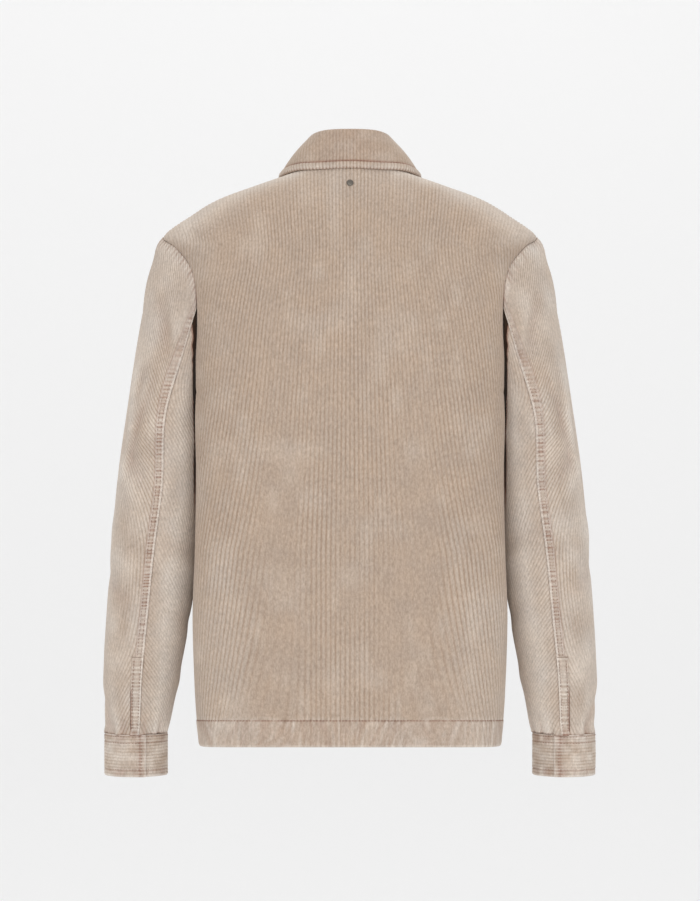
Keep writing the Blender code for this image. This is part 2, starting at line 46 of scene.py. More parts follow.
# Sections of the body, hem to neck, as in the solid. edge is where back and front meet: the side seam, then
# the two sides of the armhole, then the shoulder seam.
BODY_COLUMNS = (
    "edge_z", "back_edge_x", "back_edge_y", "front_edge_x", "front_edge_y", "tuck",
    "back_z", "back_depth", "front_z", "front_depth", "fullness", "curl",
)
BODY = {
    "hem":       (-0.679, 0.1815, 0.000, 0.1815, 0.000, 0.0005, -0.679, 0.1240, -0.680, 0.1180, 3.5, 1.00),
    "low hip":   (-0.621, 0.1870, 0.000, 0.1870, 0.000, 0.0010, -0.621, 0.1210, -0.622, 0.1170, 3.3, 1.00),
    "hip":       (-0.530, 0.1930, 0.000, 0.1930, 0.000, 0.0060, -0.530, 0.1180, -0.532, 0.1160, 3.2, 1.00),
    "waist":     (-0.450, 0.1925, 0.000, 0.1925, 0.000, 0.0130, -0.450, 0.1180, -0.451, 0.1170, 3.3, 1.00),
    "ribs":      (-0.370, 0.1915, 0.000, 0.1915, 0.000, 0.0190, -0.370, 0.1210, -0.371, 0.1200, 3.4, 1.00),
    "chest":     (-0.300, 0.1930, 0.000, 0.1930, 0.000, 0.0260, -0.300, 0.1250, -0.300, 0.1240, 3.5, 1.00),
    "armpit":    (-0.265, 0.1927, 0.000, 0.1927, 0.000, 0.0280, -0.267, 0.1270, -0.268, 0.1250, 3.4, 1.00),
    "arm low":   (-0.249, 0.1925, -0.038, 0.1896, 0.036, 0.0240, -0.243, 0.1280, -0.249, 0.1245, 3.2, 0.95),
    "arm mid":   (-0.205, 0.1840, -0.064, 0.1808, 0.056, 0.0100, -0.203, 0.1280, -0.219, 0.1220, 3.1, 0.90),
    "arm back":  (-0.150, 0.1830, -0.073, 0.1720, 0.064, 0.0020, -0.154, 0.1245, -0.186, 0.1170, 2.8, 0.84),
    "arm high":  (-0.114, 0.1895, -0.062, 0.1815, 0.057, 0.0000, -0.121, 0.1180, -0.162, 0.1120, 2.6, 0.80),
    "arm top":   (-0.088, 0.2090, -0.036, 0.2040, 0.034, 0.0000, -0.094, 0.1115, -0.144, 0.1075, 2.5, 0.84),
    "tip":       (-0.073, 0.2255, 0.000, 0.2255, 0.000, 0.0000, -0.071, 0.1040, -0.128, 0.1030, 2.4, 0.97),
    "shoulder":  (-0.052, 0.1990, 0.000, 0.1990, 0.000, 0.0000, -0.047, 0.0950, -0.112, 0.0970, 2.4, 1.00),
    "mid":       (-0.030, 0.1627, 0.000, 0.1627, 0.000, 0.0000, -0.023, 0.0840, -0.098, 0.0905, 2.4, 1.00),
    "near neck": (-0.013, 0.1170, 0.000, 0.1170, 0.000, 0.0000, -0.004, 0.0750, -0.087, 0.0845, 2.3, 1.00),
    "neck":      (0.001, 0.0740, 0.000, 0.0740, 0.000, 0.0000, 0.012, 0.0660, -0.077, 0.0790, 2.2, 1.00),
}
BODY_ROWS = np.array(list(BODY.values()))
LAST_LEVEL = len(BODY) - 1
TUCK_REACH = 0.045  # how far from the side seam the cloth is drawn in under the arm
FINE = 361  # points along a section, from which columns are read


def eased(value):
    """0 to 1, level at both ends."""
    t = np.clip(value, 0.0, 1.0)
    return t * t * (3.0 - 2.0 * t)


def bump(value, centre, reach):
    """1 at the centre, fading to 0 within about twice the reach."""
    return np.exp(-(((value - centre) / reach) ** 2))


def unit(vectors):
    return vectors / np.maximum(np.linalg.norm(vectors, axis=-1, keepdims=True), 1e-12)


def facing(grid):
    """The way that each point of a grid faces, out of the cloth."""
    return unit(np.cross(np.gradient(grid, axis=1), np.gradient(grid, axis=0)))


def through(knots, values, at):
    """A smooth curve through values at the knots, read at the places in at."""
    knots = np.asarray(knots, float)
    values = np.asarray(values, float)
    slopes = np.gradient(values, knots, axis=0)
    at = np.atleast_1d(np.asarray(at, float))
    i = np.clip(np.searchsorted(knots, at, side="right") - 1, 0, len(knots) - 2)
    shape = (-1,) + (1,) * (values.ndim - 1)
    span = (knots[i + 1] - knots[i]).reshape(shape)
    t = ((at - knots[i]) / (knots[i + 1] - knots[i])).reshape(shape)
    return (
        (2 * t**3 - 3 * t**2 + 1) * values[i]
        + (t**3 - 2 * t**2 + t) * span * slopes[i]
        + (3 * t**2 - 2 * t**3) * values[i + 1]
        + (t**3 - t**2) * span * slopes[i + 1]
    )


def lengths(points):
    """Distance along each line of points, from its start. Lines run down the first axis."""
    steps = np.linalg.norm(np.diff(points, axis=0), axis=-1)
    return np.concatenate([np.zeros_like(steps[:1]), np.cumsum(steps, axis=0)])


def read_off(at, known, points):
    """Points of a line at these places, where known gives the place of each point that it has."""
    return np.stack([np.interp(at, known, points[:, k]) for k in range(3)], axis=-1)


def evenly(points, shares):
    """The points at these shares of a line's length."""
    length = lengths(points)
    return read_off(np.asarray(shares) * length[-1], length, points)


def size_of(row, column):
    """One size from the body's table."""
    return BODY[row][BODY_COLUMNS.index(column)]


def body_sizes(level):
    """The named sizes of the body's section at a level, counted in rows of the table."""
    return dict(zip(BODY_COLUMNS, through(range(len(BODY)), BODY_ROWS, [level])[0]))


def tucked(x, y, size):
    """x drawn in towards the side seam under the arm."""
    return x - size["tuck"] * bump(y, 0.0, TUCK_REACH)


def half_section(level, side):
    """Half a section, from the centre of the back (side -1) or front (side 1) to its edge on the right."""
    size = body_sizes(level)
    part = "back" if side < 0 else "front"
    depth = size[part + "_depth"]
    edge_y = max(side * size[part + "_edge_y"], 0.0)
    turn = np.linspace(0.0, min(size["curl"], 1.0), FINE) * np.pi / 2
    power = 2.0 / size["fullness"]
    across = np.sin(turn) ** power
    across /= across[-1]
    around = 1.0 - np.cos(turn).clip(0.0) ** power
    around /= around[-1]
    y = depth + (edge_y - depth) * around
    x = tucked(size[part + "_edge_x"] * across, y, size)
    x[0] = 0.0
    z = size[part + "_z"] + (size["edge_z"] - size[part + "_z"]) * across**2
    return np.stack([x, side * y, z], axis=1)


def levels_at(heights, column):
    """Levels of the body's table at these heights of its back or front, from the first to the last."""
    fine = np.linspace(0.0, LAST_LEVEL, 1601)
    rising = through(range(len(BODY)), BODY_ROWS, fine)[:, BODY_COLUMNS.index(column)]
    levels = np.interp(heights, rising, fine)
    levels[0], levels[-1] = 0.0, LAST_LEVEL
    return levels


def wander(at, seed):
    """A smooth random curve from -1 to 1, with a new value at each whole number."""
    at = np.asarray(at, float)
    first = int(np.floor(at.min()))
    knots = np.random.default_rng(seed).uniform(-1.0, 1.0, int(at.max()) - first + 4)
    i = np.floor(at).astype(int) - first
    t = eased(at - np.floor(at))
    return knots[i] * (1.0 - t) + knots[i + 1] * t


def patches(a, b, seed):
    """Smooth random patches from -1 to 1, about one unit across each way."""
    a, b = np.asarray(a, float), np.asarray(b, float)
    first_a, first_b = int(np.floor(a.min())), int(np.floor(b.min()))
    size = (int(a.max()) - first_a + 4, int(b.max()) - first_b + 4)
    knots = np.random.default_rng(seed).uniform(-1.0, 1.0, size)
    i, j = np.floor(a).astype(int) - first_a, np.floor(b).astype(int) - first_b
    s, t = eased(a - np.floor(a)), eased(b - np.floor(b))
    low = knots[i, j] * (1.0 - s) + knots[i + 1, j] * s
    high = knots[i, j + 1] * (1.0 - s) + knots[i + 1, j + 1] * s
    return low * (1.0 - t) + high * t


def creases(across, along, table):
    """Heights of listed folds. Each runs between two points and fades towards both ends."""
    height = np.zeros_like(across)
    for start_a, start_b, end_a, end_b, width, rise in table:
        run = np.array([end_a - start_a, end_b - start_b])
        t = ((across - start_a) * run[0] + (along - start_b) * run[1]) / (run @ run)
        t = np.clip(t, 0.0, 1.0)
        away = np.hypot(across - start_a - t * run[0], along - start_b - t * run[1])
        height += rise * bump(away, 0.0, width) * np.sin(np.pi * (0.12 + 0.76 * t))
    return height


def linear(code):
    """An sRGB hex colour as the linear one that shaders take."""
    value = np.array([int(code[k:k + 2], 16) / 255.0 for k in (0, 2, 4)])
    return (*np.where(value <= 0.04045, value / 12.92, ((value + 0.055) / 1.055) ** 2.4), 1.0)


def add(tree, kind, links=None, **settings):
    """A shader node with its settings, and the sockets or values that its inputs take."""
    node = tree.nodes.new(kind)
    for key, value in settings.items():
        setattr(node, key, value)
    for key, source in (links or {}).items():
        if isinstance(source, bpy.types.NodeSocket):
            tree.links.new(source, node.inputs[key])
        else:
            node.inputs[key].default_value = source
    return node


def new_material(name, **values):
    """A material whose principled shader starts from these values."""
    material = bpy.data.materials.new(name)
    material.use_nodes = True
    shader = material.node_tree.nodes["Principled BSDF"]
    for key, value in values.items():
        shader.inputs[key.replace("_", " ").title().replace("Ior", "IOR")].default_value = value
    return material, material.node_tree, shader


def mixed(tree, factor, a, b):
    """A colour between two others."""
    return add(tree, "ShaderNodeMix", {"Factor": factor, "A": a, "B": b}, data_type="RGBA").outputs["Result"]


def ranged(tree, value, low, high):
    """A value stretched so that low gives 0 and high gives 1."""
    links = {"Value": value, "From Min": low, "From Max": high}
    return add(tree, "ShaderNodeMapRange", links).outputs["Result"]


def noise(tree, vector, size, detail, **more):
    """Noise with patches of about this size, in metres."""
    links = {"Vector": vector, "Scale": 1 / size, "Detail": detail, **more}
    return add(tree, "ShaderNodeTexNoise", links).outputs["Fac"]


# Washed corduroy: a matte taupe pile that is darker between the wales, paler where it is rubbed and where
# light is painted on, redder in the puckers of the seams where the dye stays, darker with painted shade in
# the folds, near black with painted shade in the slits, along the lower armhole and beside the body, and
# mottled all over. A pale sheen shows where it turns away.
corduroy, tree, shader = new_material(
    "washed_corduroy", roughness=0.95, sheen_weight=0.30, sheen_roughness=0.45, specular_ior_level=0.12
)
shader.inputs["Sheen Tint"].default_value = linear("EDE6DC")
spot = add(tree, "ShaderNodeTexCoord").outputs["Object"]
wale = add(tree, "ShaderNodeAttribute", attribute_name="wale").outputs["Fac"]
worn_and_lit = add(tree, "ShaderNodeAttribute", attribute_name="worn_and_lit").outputs["Fac"]
recess = add(tree, "ShaderNodeAttribute", attribute_name="recess").outputs["Fac"]
drawn_out = add(tree, "ShaderNodeMapping", {"Vector": spot, "Scale": (1.0, 1.0, 0.45)}).outputs["Vector"]
ribbed = mixed(tree, wale, linear("A08875"), linear("BBAA9B"))
# Paler where it is rubbed, and where light is painted on the sleeves.
rubbed = mixed(tree, worn_and_lit, ribbed, linear("DAD0C6"))
# Redder where the dye stays in the puckers of the seams, and darker where shade is painted.
dyed_and_shaded = mixed(tree, recess, rubbed, linear("8A604F"))
# Painted shade: where the recess passes 0.88 the cloth goes near black, in the slits, at the lower armhole
# and beside the body.
painted_deep_shade = mixed(tree, ranged(tree, recess, 0.88, 1.0), dyed_and_shaded, linear("34261D"))
warmth = ranged(tree, noise(tree, spot, 0.040, 5.0, Roughness=0.65), 0.35, 0.65)
tint = mixed(tree, warmth, (0.96, 0.965, 0.97, 1.0), (1.04, 1.025, 1.00, 1.0))
fleck = ranged(tree, noise(tree, drawn_out, 0.0021, 3.0, Roughness=0.8), 0.3, 0.7)
speck = mixed(tree, fleck, (0.795, 0.785, 0.77, 1.0), (1.205, 1.215, 1.23, 1.0))
tinted = add(tree, "ShaderNodeVectorMath", {0: painted_deep_shade, 1: tint}, operation="MULTIPLY").outputs["Vector"]
colour = add(tree, "ShaderNodeVectorMath", {0: tinted, 1: speck}, operation="MULTIPLY").outputs["Vector"]
tree.links.new(colour, shader.inputs["Base Color"])
pile = noise(tree, spot, 0.0016, 2.0, Roughness=0.6)
nap = add(tree, "ShaderNodeBump", {"Height": pile, "Strength": 0.35, "Distance": 0.0006})
tree.links.new(nap.outputs["Normal"], shader.inputs["Normal"])

PER_RIB = 4  # columns of mesh in one wale
WALE_HEIGHT = 0.00042
WALE_POWER = 0.8  # of a sine: below 1, a wale is fuller
FLAT_SHADE = 0.62  # how light the cloth is, from groove to wale, where it is rubbed flat
INNER_ROWS = 5  # the inner face has a point at every so many rows and columns, and none near the edges
INNER_COLUMNS = 9
INNER_MARGIN = 0.004


def new_piece(name, points, faces, material, side=1):
    """A smooth mesh in the scene. Side -1 mirrors it to the wearer's left."""
    points = np.array(points, float)
    points[:, 0] *= side
    if side < 0:
        faces = [face[::-1] for face in faces]
    mesh = bpy.data.meshes.new(name)
    mesh.from_pydata(points.tolist(), [], faces)
    mesh.shade_smooth()
    mesh.materials.append(material)
    piece = bpy.data.objects.new(name, mesh)
    bpy.context.scene.collection.objects.link(piece)
    return piece


def cloth_panel(name, grid, ribs, pitch, thick, relief, fields, side=1):
    """A closed shell of ribbed cloth whose columns of mesh follow the wales.

    grid holds points of the outer face, columns to the right and rows up as seen from outside. ribs says how
    far across the cloth each point lies, and grows along a row. relief gives height, how far the wales stand
    up, wear and recess from the fields.
    """
    rows, count = ribs.shape
    up = lengths(grid).mean(axis=1)
    stacked = np.concatenate([grid, facing(grid), np.stack(list(fields.values()), axis=2)], axis=2)
    step = pitch / PER_RIB
    first, last = int(np.ceil(ribs.min() / step)), int(np.floor(ribs.max() / step))
    marks = np.arange(first, last + 1) * step
    data, across, height_at = [], [], []
    number = np.full((rows, len(marks)), -1)
    total = 0
    for r in range(rows):
        inside = np.flatnonzero((marks >= ribs[r, 0]) & (marks <= ribs[r, -1]))
        mark = marks[inside]
        mark[[0, -1]] = ribs[r, [0, -1]]
        place = np.interp(mark, ribs[r], np.arange(count))
        low = np.minimum(place.astype(int), count - 2)
        part = (place - low)[:, None]
        data.append(stacked[r, low] * (1.0 - part) + stacked[r, low + 1] * part)
        across.append(np.stack([mark, mark - ribs[r, 0], ribs[r, -1] - mark], axis=1))
        height_at.append(np.full(len(inside), float(r)))
        number[r, inside] = total + np.arange(len(inside))
        total += len(inside)

    def cut(column, kept, lost):
        """Where a column leaves the panel between two rows: a new point on the panel's edge."""
        nonlocal total
        mark = marks[column]
        edge = -1 if mark > ribs[lost, -1] else 0
        t = (mark - ribs[kept, edge]) / (ribs[lost, edge] - ribs[kept, edge])
        data.append((stacked[kept, edge] * (1.0 - t) + stacked[lost, edge] * t)[None])
        width = ribs[kept, -1] - ribs[kept, 0]
        across.append(np.array([[mark, width if edge else 0.0, 0.0 if edge else width]]))
        height_at.append(np.array([kept + (lost - kept) * t]))
        total += 1
        return kept + (lost - kept) * t, total - 1

    columns = []
    for c in range(len(marks)):
        runs = []
        held = np.flatnonzero(number[:, c] >= 0)
        for span in np.split(held, np.flatnonzero(np.diff(held) > 1) + 1):
            if len(span) == 0:
                continue
            run = [(float(r), number[r, c]) for r in span]
            if span[0] > 0:
                run.insert(0, cut(c, span[0], span[0] - 1))
            if span[-1] < rows - 1:
                run.append(cut(c, span[-1], span[-1] + 1))
            runs.append(run)
        columns.append(runs)

    def shared(run, others, other):
        """The stretch of a run that faces one of the runs beside it."""
        beside = [o for o in others if o[0][0] <= run[-1][0] and o[-1][0] >= run[0][0]]
        at = beside.index(other)
        low = -1.0 if at == 0 else (beside[at - 1][-1][0] + other[0][0]) / 2
        high = rows if at == len(beside) - 1 else (other[-1][0] + beside[at + 1][0][0]) / 2
        return [p for p in run if low - 0.5 <= p[0] <= high + 0.5]

    faces = []
    for left_runs, right_runs in zip(columns, columns[1:]):
        for left in left_runs:
            for right in right_runs:
                if left[0][0] > right[-1][0] or right[0][0] > left[-1][0]:
                    continue
                a, b = shared(left, right_runs, right), shared(right, left_runs, left)
                i = j = 0
                while i < len(a) - 1 or j < len(b) - 1:
                    more_a, more_b = i < len(a) - 1, j < len(b) - 1
                    if more_a and more_b and a[i][0] == b[j][0] and a[i + 1][0] == b[j + 1][0]:
                        faces.append((a[i][1], b[j][1], b[j + 1][1], a[i + 1][1]))
                        i, j = i + 1, j + 1
                    elif not more_b or (more_a and a[i + 1][0] <= b[j + 1][0]):
                        faces.append((a[i][1], b[j][1], a[i + 1][1]))
                        i += 1
                    else:
                        faces.append((a[i][1], b[j][1], b[j + 1][1]))
                        j += 1

    data, across, height_at = np.concatenate(data), np.concatenate(across), np.concatenate(height_at)
    place = dict(zip(fields, data[:, 6:].T))
    place.update(point=data[:, :3], rib=across[:, 0], left=across[:, 1], right=across[:, 2])
    wale = np.sin(np.pi * np.mod(place["rib"] / pitch, 1.0)) ** WALE_POWER
    rise, strength, worn_and_lit, recess = relief(place)
    normal = unit(data[:, 3:6])
    outer = place["point"] + normal * (rise + WALE_HEIGHT * strength * wale)[:, None]

    # The rim and the inner face close the shell. The inner face is plain and coarse.
    edges = {}
    for face in faces:
        for a, b in zip(face, face[1:] + face[:1]):
            edges[(a, b)] = edges.get((a, b), 0) + 1
    following = {a: b for a, b in edges if (b, a) not in edges}
    rim = [next(iter(following))]
    while following[rim[-1]] != rim[0]:
        rim.append(following[rim[-1]])
    on_rim = set(rim)
    coarse = [
        number[r, c]
        for r in range(INNER_ROWS - 1, rows - INNER_ROWS + 1, INNER_ROWS)
        for c in range(0, len(marks), INNER_COLUMNS)
        if number[r, c] >= 0 and number[r, c] not in on_rim
        and min(place["left"][number[r, c]], place["right"][number[r, c]]) > INNER_MARGIN
    ]
    lining = rim + coarse
    flat = np.stack([place["rib"][lining], np.interp(height_at[lining], np.arange(rows), up)], axis=1)
    found = delaunay_2d_cdt([Vector(p) for p in flat.tolist()], [], [list(range(len(rim)))], 1, 1e-9)
    back_to = [origin[0] if origin else -1 for origin in found[3]]
    deep = np.interp(height_at[lining], np.arange(rows), np.broadcast_to(thick, rows))
    inner = place["point"][lining] + normal[lining] * (np.minimum(rise[lining], 0.0) - deep)[:, None]
    for triangle in found[2]:
        corners = [back_to[k] for k in triangle]
        if min(corners) >= 0 and len(set(corners)) == 3:
            faces.append(tuple(total + k for k in corners[::-1]))
    for k in range(len(rim)):
        after = (k + 1) % len(rim)
        faces.append((rim[after], rim[k], total + k, total + after))
    piece = new_piece(name, np.concatenate([outer, inner]), faces, corduroy, side)
    shown = strength * wale + (1.0 - strength) * FLAT_SHADE
    worn_and_lit = worn_and_lit * (0.50 + 0.80 * shown)
    for key, values, inside in (("wale", shown, 0.45), ("worn_and_lit", worn_and_lit, 0.0), ("recess", recess, 0.15)):
        layer = piece.data.attributes.new(key, "FLOAT", "POINT")
        layer.data.foreach_set("value", np.r_[np.clip(values, 0.0, 1.0), np.full(len(inner), inside)])
    return piece


def sew_on(piece, node):
    """Makes a panel of cloth move with the root, and hides the node of the part that it stands for."""
    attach(piece, "root")
    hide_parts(node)


WALE = 0.00405  # pitch of the wales as the picture shows them, coarser than such cloth's true cord
HEM_DEPTH = 0.031
HEM_DIP = 0.011  # how far it hangs lower at the sides, so that it looks level from behind
HEM_LAYER = 0.0012  # how much thicker the cloth is where it is turned up
# Rows of mesh round the hem, in millimetres up from its edge
HEM_ROWS = (0, 1.2, 3, 6, 10, 14, 18, 22, 25, 27.5, 29.2, 30.2, 31, 31.8, 32.8, 34.5, 37, 41, 46)
ROW_STEP = 0.0056
SHOULDER_ROWS = 0.0024  # closer, from a little under the shoulder's tip
TIP_ROWS = 12  # that many of the closer rows lie under the tip
SPREAD = 0.40  # how much further apart the wales lie from the waist down than at the shoulders
SPREAD_FROM = -0.09
SPREAD_OVER = 0.36
SPREAD_TOP = 0.10  # how much they open again towards the neck
FLARE = 0.038  # how far the wales at the sides run out past that, at the hem
FLARE_FROM = -0.25
STITCH_PITCH = 0.0038


def rows_up(column):
    """Heights of a body panel's rows: close together round the hem's stitching and over the shoulder."""
    low, tip, high = (size_of(row, column) for row in ("hem", "tip", "neck"))
    hem = low + np.array(HEM_ROWS) / 1000.0
    under = tip - TIP_ROWS * SHOULDER_ROWS
    rest = np.linspace(hem[-1], under, int((under - hem[-1]) / ROW_STEP) + 1)
    round_tip = np.linspace(under, tip, TIP_ROWS + 1)
    top = np.linspace(tip, high, int((high - tip) / SHOULDER_ROWS) + 2)
    return np.r_[hem, rest[1:], round_tip[1:], top[1:]]


def hem_walls(rows):
    """How thick the cloth is at each row: two layers in the hem."""
    return np.where(rows < rows[0] + HEM_DEPTH - 0.001, CLOTH + HEM_LAYER, CLOTH)


def spread(z):
    """How far apart the wales lie at a height, against those at the shoulders."""
    opened = SPREAD * np.clip((SPREAD_FROM - z) / SPREAD_OVER, 0.0, 1.0)
    return 1.0 + opened + SPREAD_TOP * eased((z + 0.13) / 0.14)


def flare(across, z):
    """How far the wales lie from where they would be if they spread evenly: they lean out at the sides."""
    low = np.clip((FLARE_FROM - z) / (FLARE_FROM - size_of("hem", "edge_z")), 0.0, 1.0) ** 1.8
    return FLARE * low * np.sign(across) * eased((np.abs(across) - 0.040) / 0.100)


def upright(z):
    """How far the wales keep to upright planes at a height, as they do over the shoulders."""
    return eased((z + 0.20) / 0.13)


def hem_relief(up, across, seed):
    """Height, wear and recess of a turned-up hem: a doubled band, a stitched groove and puckers."""
    slant = 0.7 * wander(across / 0.021, seed + 7)
    drawn = wander((across + slant * (HEM_DEPTH - up)) / 0.0044, seed)
    turn = 2 * np.pi * ((across - 0.5 * slant * up) / 0.0082 + 0.9 * wander(across / 0.019, seed + 3))
    streak = (0.5 + 0.5 * np.cos(turn)) ** 5 * (0.55 + 0.45 * wander(across / 0.011, seed + 5))
    pucker = drawn * (bump(up, HEM_DEPTH - 0.003, 0.011) + 0.7 * bump(up, 0.003, 0.010))
    dashes = 0.5 + 0.5 * np.cos(2 * np.pi * across / STITCH_PITCH)
    groove = bump(up, HEM_DEPTH, 0.0009)
    band = 1.0 - eased((up - HEM_DEPTH + 0.001) / 0.003)
    height = 0.0007 * band - 0.0008 * groove * (0.6 + 0.4 * dashes) + 0.00030 * pucker
    height -= 0.0006 * bump(up, 0.0, 0.0012)
    wear_and_light = 0.45 * bump(up, 0.0005, 0.0014) + band * (0.26 * pucker.clip(0.0) + 0.42 * streak + 0.06)
    wear_and_light += 0.30 * bump(up, HEM_DEPTH + 0.0022, 0.0016) * (1.0 - dashes)
    dark = 0.40 * groove * (0.5 + 0.5 * dashes) + 0.22 * band * (-pucker).clip(0.0) + 0.04 * band
    return height, wear_and_light, dark


def hem_drop(points, up):
    """How far each point of a body panel hangs lower, at these heights above the hem's edge."""
    depth = np.abs(points[:, :, 1])
    aside = (1.0 - depth / size_of("hem", "back_depth")).clip(0.0)
    corner = 0.65 * bump(depth, 0.0, 0.060) * (1.0 - 0.8 * eased(up / HEM_DEPTH))[:, None]
    return HEM_DIP * aside * (1.0 - corner) * (1.0 - eased(up / 0.16))[:, None]


# Sewing thread: dull spun cotton, a darker brown than the cloth, with a slight variation along it.
thread, tree, shader = new_material("brown_thread", roughness=0.8, specular_ior_level=0.2)
spot = add(tree, "ShaderNodeTexCoord").outputs["Object"]
shade = mixed(tree, noise(tree, spot, 0.003, 1.0), linear("705041"), linear("987767"))
tree.links.new(shade, shader.inputs["Base Color"])


def stitch_row(path, normals, length, pitch, radius):
    """Points and faces of a row of sewing stitches along a path: short threads that dive in at both ends."""
    along = lengths(path)
    starts = np.arange(pitch / 2, along[-1] - pitch / 2, pitch)
    sides, rings = 6, np.array([-0.5, -0.3, 0.0, 0.3, 0.5])
    points, faces = [], []
    for start in starts:
        spots = read_off(start + rings * length, along, path)
        up = unit(read_off(start, along, normals))
        ahead = unit(spots[-1] - spots[0])
        beside = np.cross(ahead, up)
        base = len(points)
        for ring, spot_at in zip(rings, spots):
            size = radius * (1.0 - 1.6 * ring**2)
            middle = spot_at + up * radius * (0.6 - 5.0 * ring**2)
            for k in range(sides):
                turn = 2 * np.pi * k / sides
                points.append(middle + size * (np.cos(turn) * beside + np.sin(turn) * up))
        for r in range(len(rings) - 1):
            for k in range(sides):
                a, b = base + r * sides + k, base + r * sides + (k + 1) % sides
                faces.append((a, a + sides, b + sides, b))
        faces.append(tuple(base + k for k in range(sides)))
        faces.append(tuple(base + (len(rings) - 1) * sides + k for k in range(sides - 1, -1, -1)))
    return points, faces


def stitches(name, rows, side=1, length=0.0026, pitch=STITCH_PITCH, radius=0.00042):
    """One object that holds several rows of stitches, each a path with its normals."""
    points, faces = [], []
    for path, normals in rows:
        new_points, new_faces = stitch_row(path, normals, length, pitch, radius)
        faces += [tuple(len(points) + k for k in face) for face in new_faces]
        points += new_points
    piece = new_piece(name, points, faces, thread, side)
    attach(piece, "root")
    return piece


BACK_CREASES = (
    # from x and z, to x and z, width and height, in metres
    (-0.186, -0.055, -0.118, -0.076, 0.011, -0.0022),
    (-0.192, -0.068, -0.125, -0.094, 0.012, 0.0016),
    (0.186, -0.058, 0.112, -0.072, 0.010, -0.0018),
    (0.190, -0.070, 0.130, -0.090, 0.013, 0.0014),
    (-0.165, -0.215, -0.105, -0.300, 0.020, 0.0016),
    (0.168, -0.210, 0.112, -0.310, 0.022, 0.0015),
    (-0.170, -0.250, -0.120, -0.345, 0.014, -0.0014),
    (0.172, -0.255, 0.125, -0.350, 0.014, -0.0013),
    (-0.092, -0.360, -0.102, -0.640, 0.022, 0.0016),
    (0.078, -0.380, 0.096, -0.640, 0.024, 0.0015),
    (-0.055, -0.400, -0.060, -0.650, 0.018, -0.0012),
    (0.040, -0.420, 0.050, -0.650, 0.020, -0.0012),
    (0.140, -0.430, 0.155, -0.640, 0.018, -0.0012),
    (-0.145, -0.430, -0.160, -0.640, 0.018, -0.0012),
)
# Where the wales are rubbed nearly flat, and where they stay crisp: x, z, half width, half height, strength
BACK_WEAR = (
    (-0.083, -0.520, 0.030, 0.170, -0.85),
    (0.083, -0.520, 0.030, 0.170, -0.85),
    (-0.080, -0.360, 0.022, 0.040, -0.45),
    (0.080, -0.360, 0.022, 0.040, -0.45),
    (-0.118, -0.660, 0.034, 0.060, -0.75),
    (0.118, -0.660, 0.034, 0.060, -0.75),
    (0.045, -0.520, 0.024, 0.110, -0.55),
    (0.000, -0.400, 0.020, 0.035, -0.45),
    (0.000, -0.490, 0.018, 0.040, -0.40),
    (-0.160, -0.105, 0.030, 0.040, -0.15),
    (0.160, -0.105, 0.030, 0.040, -0.15),
    (-0.130, -0.480, 0.030, 0.120, 0.15),
    (0.130, -0.480, 0.030, 0.120, 0.15),
)


def wale_strength(x, z, table, seed):
    """How far the wales stand up, from rubbed flat to crisp."""
    strength = 0.74 + 0.22 * patches(x / 0.030, z / 0.070, seed)
    strength += 0.22 * patches(x / WALE, z / 0.014, seed + 1)
    for centre_x, centre_z, wide, high, change in table:
        strength += change * bump(x, centre_x, wide) * bump(z, centre_z, high)
    return np.clip(strength, 0.12, 1.0)


def deep_seam(z):
    """1 where the armhole's seam lies deep, in its lower part, and 0 above."""
    return 1.0 - eased((z + 0.165) / 0.05)


def tip_ease(z, edge):
    """How far a body panel is eased in beside the shoulder's tip, so that it runs on into the sleeve."""
    return 0.0042 * bump(edge, 0.036, 0.017) * bump(z, -0.074, 0.012)


def body_relief(place, edge, folds, rubbed, seeds):
    """What the back and the fronts share: hem, folds, neck seam, and the cloth rubbed pale along the
    shoulder.
    """
    hem_seed, patch_seed, wale_seed = seeds
    x, z = place["point"][:, 0], place["point"][:, 2]
    height, wear_and_light, dark = hem_relief(place["up"], x, hem_seed)
    height += creases(x, z, folds) - tip_ease(z, edge) - 0.0005 * bump(place["down"], 0.0, 0.003)
    shoulder = eased((z + 0.095) / 0.025)
    wear_and_light += 0.16 * patches(x / 0.018, z / 0.03, patch_seed).clip(0.0)
    wear_and_light += 0.50 * shoulder * bump(edge, 0.016, 0.030)
    strength = wale_strength(x, z, rubbed, wale_seed) * (1.0 - 0.55 * shoulder * bump(edge, 0.0, 0.042))
    strength *= 1.0 - 0.45 * eased((HEM_DEPTH - place["up"]) / 0.002)
    return height, strength, wear_and_light, dark


def back_relief(place):
    x, z = place["point"][:, 0], place["point"][:, 2]
    edge = np.minimum(place["left"], place["right"])
    height, strength, wear_and_light, dark = body_relief(place, edge, BACK_CREASES, BACK_WEAR, (11, 5, 3))
    low = deep_seam(z)
    height -= (0.0001 + 0.0006 * low) * bump(edge, 0.0, 0.0022)
    # Painted shadow: a dark line along its edge at the lower armhole, where it meets the sleeve, fainter
    # down the side seam.
    dark += (0.35 + 0.65 * eased((z + 0.275) / 0.02)) * low * bump(edge, 0.0, 0.0013)
    # It draws in above the armpit, so that its outline runs straight down from the armhole.
    drawn_in = eased((-0.212 - z) / 0.036) * (1.0 - eased((-0.2525 - z) / 0.0075))
    height -= 0.0022 * drawn_in * eased(edge / 0.006) * bump(edge, 0.015, 0.030)
    wear_and_light += 0.20 * bump(place["down"], 0.0, 0.045)
    wear_and_light += 0.16 * eased((np.abs(x) - 0.100) / 0.050) * eased((-0.42 - z) / 0.12)
    return height, strength, wear_and_light, dark


